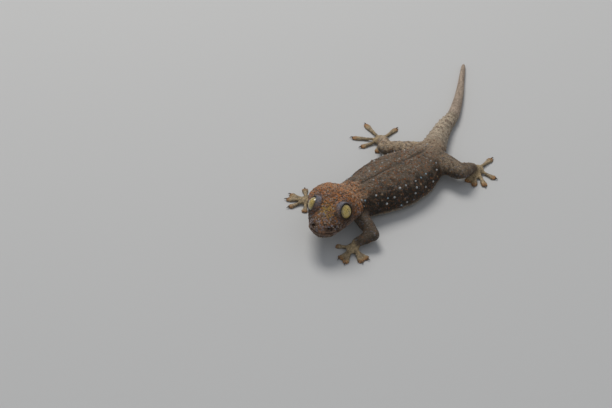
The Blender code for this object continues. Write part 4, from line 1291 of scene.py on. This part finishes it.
def skinSpacing():
    forward, side, up = headPlaces(skin.co)
    below = ramp(skinNormals[:, 2], -0.3, -0.75)
    spacing = np.full(len(skin.co), packing["back"])

    def mix(value, share):
        share = np.clip(share, 0, 1)
        return spacing * (1 - share) + value * share

    spacing = mix(packing["flank"], ramp(skin.co[:, 2] / mm, 12, 6) * regions["trunk"])
    spacing = mix(packing["belly"], below * (regions["trunk"] + regions["tail"]))
    spacing = mix(packing["tail"], regions["tail"])
    spacing = mix(packing["regrown"], regions["regrown"])
    spacing = mix(packing["neck"], regions["neck"])
    head = packing["crown"] + (packing["snout"] - packing["crown"]) * ramp(forward, 19, 28)
    head = head + (packing["cheek"] - head) * ramp(up, 10, 7) * ramp(forward, 26, 20)
    head = head + (packing["throat"] - head) * ramp(up, 4, 2.5)
    for name in eyes:
        along, off, far, crown = eyePlaces(skin.co, name)
        head = head + (packing["lids"] - head) * bell(off, 6.4, 1.6) * (along > -1)
    spacing = mix(head, regions["head"])
    for limb in limbNames:
        spacing = mix(packing["limb"], regions[limb])
        spacing = mix(packing["foot"], regions[limb + "_foot"])
    return spacing


def scatter(spacing):
    # first places, more where the scales are small
    a, b, c, d = (skin.co[faceCorners[:, k]] for k in range(4))
    area = (np.linalg.norm(np.cross(b - a, c - a), axis=1) + np.linalg.norm(np.cross(c - a, d - a), axis=1)) / 2
    wanted = area / (0.866 * (spacing[faceCorners].mean(axis=1) * mm) ** 2)
    total = int(wanted.sum())
    chosen = np.searchsorted(np.cumsum(wanted), draw.random(total) * wanted.sum())
    chosen = np.minimum(chosen, len(faceCorners) - 1)
    u, v = draw.random(total)[:, None], draw.random(total)[:, None]
    top = a[chosen] * (1 - u) + b[chosen] * u
    bottom = d[chosen] * (1 - u) + c[chosen] * u
    return top * (1 - v) + bottom * v, chosen


def clearOf(points, size):
    # moves points out of the way of the plates, beads and tubercles
    hits = [blockedTree.find(p) for p in points]
    other = np.array([hit[1] for hit in hits])
    gap = np.array([hit[2] for hit in hits])
    wanted = blockedRadius[other] * mm + size * 0.42
    away = points - blockedAt[other]
    push = np.clip(wanted - gap, 0, None)
    return points + away / np.maximum(gap, 1e-7)[:, None] * push[:, None], gap / wanted


def roomFor(points, faces, size):
    # whether a scale may stand at each point: clear of plates, eyes, mouth line, ears and nostrils
    keep = clearOf(points, size * mm)[1] > 0.8
    for name in eyes:
        keep &= eyePlaces(points, name)[2] > 5.45
    forward, side, up = headPlaces(points)
    onHead = faceMean(faces, regions["head"]) > 0.5
    keep &= ~((np.abs(up - mouthHeight(forward)) < 0.36) & (forward > layout["mouthCorner"]) & onHead)
    for kind, far in pits(points):
        keep &= ~onHead | (far > (0.92 if kind == "ear" else 1.2))
    return keep


def gapsIn(points, spacing):
    # skin points that the packing left bare, far enough apart for a scale on each
    tree = pointTree(points)
    bare = np.array([tree.find(p)[2] for p in skin.co]) > spacing * mm * packing["bare"]
    spots = sparse(bare, packing["bareGap"])
    return spots if len(spots) else np.zeros((0, 3))


def packGranules():
    spacing = skinSpacing()
    faceSpacing = spacing[faceCorners].mean(axis=1)
    points, faces = scatter(spacing)
    for turn in range(packing["rounds"]):
        tree = pointTree(points)
        near = np.array([[hit[1] for hit in tree.find_n(p, packing["near"])] for p in points])[:, 1:]
        size = faceSpacing[faces] * mm
        away = points[:, None, :] - points[near]
        far = np.linalg.norm(away, axis=2)
        reach = 1.12 * (size[:, None] + size[near]) / 2
        force = np.clip(1 - far / reach, 0, 1) * reach
        points = points + (away / np.maximum(far, 1e-7)[..., None] * force[..., None]).sum(axis=1) * packing["strength"]
        points, room = clearOf(points, size)
        points, faces = onSkin(points)
    keep = roomFor(points, faces, faceSpacing[faces])
    points, faces = points[keep], faces[keep]
    spots, spotFaces = onSkin(gapsIn(points, spacing))
    keep = roomFor(spots, spotFaces, faceSpacing[spotFaces])
    print("gaps filled:", int(keep.sum()))
    points, faces = np.vstack([points, spots[keep]]), np.concatenate([faces, spotFaces[keep]])
    return points, faces, faceSpacing[faces]


def growCoat():
    points, faces, spacing = packGranules()
    half = spacing * packing["across"]
    sizes = np.c_[half, half, spacing * packing["height"]]
    made = rootsAt(points, faces, sizes, packing["spread"], shade=packing["shade"])
    made["stand"] = made["stand"] + draw.normal(0, packing["lean"], (len(points), 3))
    local = made["regions"]
    normal = faceMean(faces, skinNormals)
    below = normal[:, 2] < -0.45
    isHead = local["head"] + local["neck"] > 0.5
    isTail = local["tail"] + local["regrown"] > 0.5
    isFoot = sum(local[n + "_foot"] for n in limbNames) > 0.5
    isLimb = sum(local[n] + local[n + "_foot"] for n in limbNames) > 0.5
    isArm = sum(local[n] + local[n + "_foot"] for n in ("arm_left", "arm_right")) > 0.5
    forward, side, up = headPlaces(points)
    index, length, left = spinePlaces(points)
    isTrunk = ~isHead & ~isTail & ~isLimb & ~below
    isJaw = isHead & (forward > layout["mouthCorner"] - 4) & (up < mouthHeight(forward))
    flat = (below & ~isHead) | isTail | (isLimb & (normal[:, 2] < 0.3)) | isFoot
    made["size"][flat] *= np.array([1.10, 1.06, 0.72])
    # smaller scales towards the tail's tip, and the smallest on its rounded end
    rearward = (normal * made["lie"]).sum(axis=1)
    shrink = packing["tipShrink"] + packing["tipCap"] * ramp(rearward, 0.2, 0.7)
    made["size"] *= 1 - (shrink * ramp(length, 3.5 * mm, 0.5 * mm))[:, None]
    groups = {
        "scales_crown": (isHead & ~isJaw & (up > 9.5), granule, "head_hide"),
        "scales_face": (isHead & ~isJaw & (up <= 9.5), granule, "head_hide"),
        "scales_jaw": (isJaw, granule, "jaw_hide"),
        "scales_back_left": (isTrunk & (left > 0), granule, "body_hide"),
        "scales_back_right": (isTrunk & (left <= 0), granule, "body_hide"),
        "scales_tail": (isTail & ~below & (rearward < 0.55), leaf, "tail_hide"),
        "scales_belly": (below & ~isLimb & ~isHead, leaf, "body_hide"),
        "scales_arms": (isLimb & isArm, leaf, "limb_hide"),
        "scales_legs": (isLimb & ~isArm, leaf, "limb_hide"),
    }
    for name, (mask, shape, slot) in groups.items():
        growOnSkin(name, shape, subset(made, mask), scaleHide)


growCoat()
print("coat grown")

# toe pads: rows of thin plates across the underside of each toe
pads = {
    "step": 0.62, "first": 0.44, "last": 0.97, "half": 0.40, "high": 0.20,
    "profile": [(0.0, 1.4), (0.3, 1.1), (0.56, 1.45), (0.68, 2.05), (0.82, 2.35), (0.94, 2.0), (1.0, 1.0)],
    "tone": (0.42, 0.36, 0.29),
}


def growPads():
    spots, sizes, lies = [], [], []
    shares, halves = zip(*pads["profile"])
    for limb in limbNames:
        palm, toes = layout["feet"][limb]
        for length, degrees in toes:
            at = length * pads["first"]
            while at < length * pads["last"]:
                share = (at - 2.2) / (length - 2.2)
                wide = float(np.interp(share, shares, halves)) * 0.7
                spots.append(place((*palm, pads["high"])) + heading(degrees) * at * mm)
                sizes.append((pads["half"], wide, pads["high"]))
                lies.append(heading(degrees))
                at += pads["step"]
    _, faces = onSkin(spots)
    stand = np.tile([0.0, 0.0, -1.0], (len(spots), 1))
    made = rootsAt(np.array(spots), faces, sizes, 0.02, stand=stand, lie=np.array(lies))
    made["hide"] = np.array(pads["tone"]) * draw.uniform(0.85, 1.1, len(spots))[:, None]
    growOnSkin("toe_pad_plates", plate, made, plateHide)


growPads()
for shape in (granule, leaf, tubercle, plate):
    bpy.data.objects.remove(shape)

# claws: short curved horns on every toe but the first
claws = {
    "radius": 0.50, "length": 2.35, "steps": 7, "sides": 8, "height": 1.15, "inset": 0.55,
    "lift": 18.0, "curl": 62.0, "base": (0.19, 0.125, 0.075), "tip": (0.020, 0.014, 0.010),
}


def clawMaterial():
    made = bpy.data.materials.new("clawHorn")
    made.use_nodes = True
    nodes, links = made.node_tree.nodes, made.node_tree.links
    shader = nodes["Principled BSDF"]
    rise = nodes.new("ShaderNodeAttribute")
    rise.attribute_name = "rise"
    where = nodes.new("ShaderNodeTexCoord")
    streak = nodes.new("ShaderNodeTexNoise")
    streak.inputs["Scale"].default_value = 2500.0
    links.new(where.outputs["Object"], streak.inputs["Vector"])
    mixed = nodes.new("ShaderNodeMath")
    mixed.operation = "MULTIPLY_ADD"
    mixed.inputs[1].default_value = 0.35
    links.new(streak.outputs["Fac"], mixed.inputs[0])
    links.new(rise.outputs["Fac"], mixed.inputs[2])
    horn = nodes.new("ShaderNodeValToRGB")
    horn.color_ramp.elements[0].position, horn.color_ramp.elements[0].color = 0.15, (*claws["base"], 1)
    horn.color_ramp.elements[1].position, horn.color_ramp.elements[1].color = 0.95, (*claws["tip"], 1)
    links.new(mixed.outputs["Value"], horn.inputs["Fac"])
    links.new(horn.outputs["Color"], shader.inputs["Base Color"])
    shader.inputs["Roughness"].default_value = 0.28
    return made


def makeClaws():
    horn = clawMaterial()
    for limb in limbNames:
        palm, toes = layout["feet"][limb]
        bm = bmesh.new()
        rise = bm.verts.layers.float.new("rise")
        for length, degrees in toes[1:]:
            way = heading(degrees)
            left = Vector((-way.y, way.x, 0.0))
            start = place((*palm, claws["height"])) + way * (length - claws["inset"]) * mm
            aim = Matrix.Rotation(-math.radians(claws["lift"]), 3, left) @ way
            turn = aim.to_track_quat("Z", "Y").to_matrix().to_4x4()
            ring = bmesh.ops.create_circle(
                bm, cap_ends=True, segments=claws["sides"], radius=claws["radius"] * mm,
                matrix=Matrix.Translation(start) @ turn)["verts"]
            face = ring[0].link_faces[0]
            step = claws["length"] / claws["steps"] * mm
            bend = Matrix.Rotation(math.radians(claws["curl"] / claws["steps"]), 3, left)
            for k in range(claws["steps"]):
                grown = bmesh.ops.extrude_face_region(bm, geom=[face])["geom"]
                verts = [v for v in grown if isinstance(v, bmesh.types.BMVert)]
                face = next(f for f in grown if isinstance(f, bmesh.types.BMFace))
                aim = bend @ aim
                bmesh.ops.translate(bm, vec=aim * step, verts=verts)
                middle = sum((v.co for v in verts), Vector()) / len(verts)
                bmesh.ops.rotate(bm, cent=middle, matrix=bend, verts=verts)
                thin = (1 - (k + 1) / claws["steps"]) ** 0.8 + 0.06
                before = (1 - k / claws["steps"]) ** 0.8 + 0.06
                bmesh.ops.scale(bm, vec=(thin / before,) * 3, space=Matrix.Translation(-middle), verts=verts)
                for vert in verts:
                    vert[rise] = (k + 1) / claws["steps"]
        bmesh.ops.recalc_face_normals(bm, faces=bm.faces)
        mesh = meshFrom(bm, "claws_" + limb)
        mesh.shade_smooth()
        mesh.materials.append(horn)
        piece = newObject("claws_" + limb, mesh)
        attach(piece, "root")


makeClaws()
print("claws made")

# eyes: a glossy ball with a gold iris and a slit pupil
eyeSettings = {
    "radius": 5.2, "segments": 64, "rings": 40, "bulge": 0.35, "inset": 0.012,
    "low": (0.16, 0.085, 0.018), "middle": (0.50, 0.36, 0.085), "high": (0.78, 0.62, 0.20),
    "limbus": (0.030, 0.018, 0.008), "pupil": (0.010, 0.008, 0.005),
}


def eyeMaterial(name, centre, look, front, top):
    made = bpy.data.materials.new(name)
    made.use_nodes = True
    nodes, links = made.node_tree.nodes, made.node_tree.links
    shader = nodes["Principled BSDF"]
    where = nodes.new("ShaderNodeTexCoord")
    seat = nodes.new("ShaderNodeMapping")
    seat.vector_type = "TEXTURE"
    turn = Matrix((top.cross(look), top, look)).transposed()
    seat.inputs["Location"].default_value = centre
    seat.inputs["Rotation"].default_value = turn.to_euler()
    seat.inputs["Scale"].default_value = (eyeSettings["radius"] * mm,) * 3
    links.new(where.outputs["Object"], seat.inputs["Vector"])
    split = nodes.new("ShaderNodeSeparateXYZ")
    links.new(seat.outputs["Vector"], split.inputs["Vector"])

    def calc(operation, a, b=None):
        node = nodes.new("ShaderNodeMath")
        node.operation = operation
        for socket, value in zip(node.inputs, (a, b)):
            if isinstance(value, (int, float)):
                socket.default_value = value
            elif value is not None:
                links.new(value, socket)
        return node.outputs["Value"]

    def step(value, low, high):
        node = nodes.new("ShaderNodeMapRange")
        node.inputs["From Min"].default_value, node.inputs["From Max"].default_value = low, high
        links.new(value, node.inputs["Value"])
        return node.outputs["Result"]

    def mix(share, a, colour):
        node = nodes.new("ShaderNodeMix")
        node.data_type = "RGBA"
        node.inputs["B"].default_value = (*colour, 1)
        links.new(share, node.inputs["Factor"])
        links.new(a, node.inputs["A"])
        return node.outputs["Result"]

    x, y = split.outputs["X"], split.outputs["Y"]
    far = calc("SQRT", calc("ADD", calc("MULTIPLY", x, x), calc("MULTIPLY", y, y)))
    veins = nodes.new("ShaderNodeTexNoise")
    for key, value in (("Scale", 11.0), ("Detail", 6.0), ("Roughness", 0.62), ("Distortion", 0.8)):
        veins.inputs[key].default_value = value
    links.new(seat.outputs["Vector"], veins.inputs["Vector"])
    gold = nodes.new("ShaderNodeValToRGB")
    gold.color_ramp.elements[0].position, gold.color_ramp.elements[0].color = 0.34, (*eyeSettings["low"], 1)
    gold.color_ramp.elements[1].position, gold.color_ramp.elements[1].color = 0.66, (*eyeSettings["high"], 1)
    gold.color_ramp.elements.new(0.46).color = (*eyeSettings["middle"], 1)
    links.new(veins.outputs["Fac"], gold.inputs["Fac"])
    colour = mix(step(far, 0.62, 0.90), gold.outputs["Color"], eyeSettings["limbus"])
    # the slit: a narrow lens with small notches
    lens = calc("SUBTRACT", 1.0, calc("MULTIPLY", calc("MULTIPLY", y, y), 2.3))
    notch = calc("MULTIPLY", calc("COSINE", calc("MULTIPLY", y, 21.0)), 0.02)
    width = calc("ADD", calc("MULTIPLY", lens, 0.035), notch)
    slit = step(calc("SUBTRACT", width, calc("ABSOLUTE", x)), -0.015, 0.015)
    links.new(mix(slit, colour, eyeSettings["pupil"]), shader.inputs["Base Color"])
    shader.inputs["Roughness"].default_value = 0.3
    shader.inputs["Coat Weight"].default_value = 1.0
    shader.inputs["Coat Roughness"].default_value = 0.04
    return made


def makeEye(side):
    centre, look, front, top = eyes[side]
    bm = bmesh.new()
    bmesh.ops.create_uvsphere(
        bm, u_segments=eyeSettings["segments"], v_segments=eyeSettings["rings"], radius=1.0)
    for vert in bm.verts:
        bulge = eyeSettings["bulge"] / eyeSettings["radius"] * max(0.0, vert.co.z) ** 3
        vert.co *= 1 + bulge - eyeSettings["inset"]
    bmesh.ops.transform(bm, matrix=Matrix.Scale(eyeSettings["radius"] * mm, 4), verts=bm.verts)
    turn = look.to_track_quat("Z", "Y").to_matrix().to_4x4()
    bmesh.ops.transform(bm, matrix=Matrix.Translation(centre) @ turn, verts=bm.verts)
    mesh = meshFrom(bm, "eyeball_" + side)
    mesh.shade_smooth()
    mesh.materials.append(eyeMaterial("iris_" + side, centre, look, front, top))
    ball = newObject("eyeball_" + side, mesh)
    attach(ball, "root")
    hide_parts("eye_" + side)


for side in eyes:
    makeEye(side)
print("eyes made")
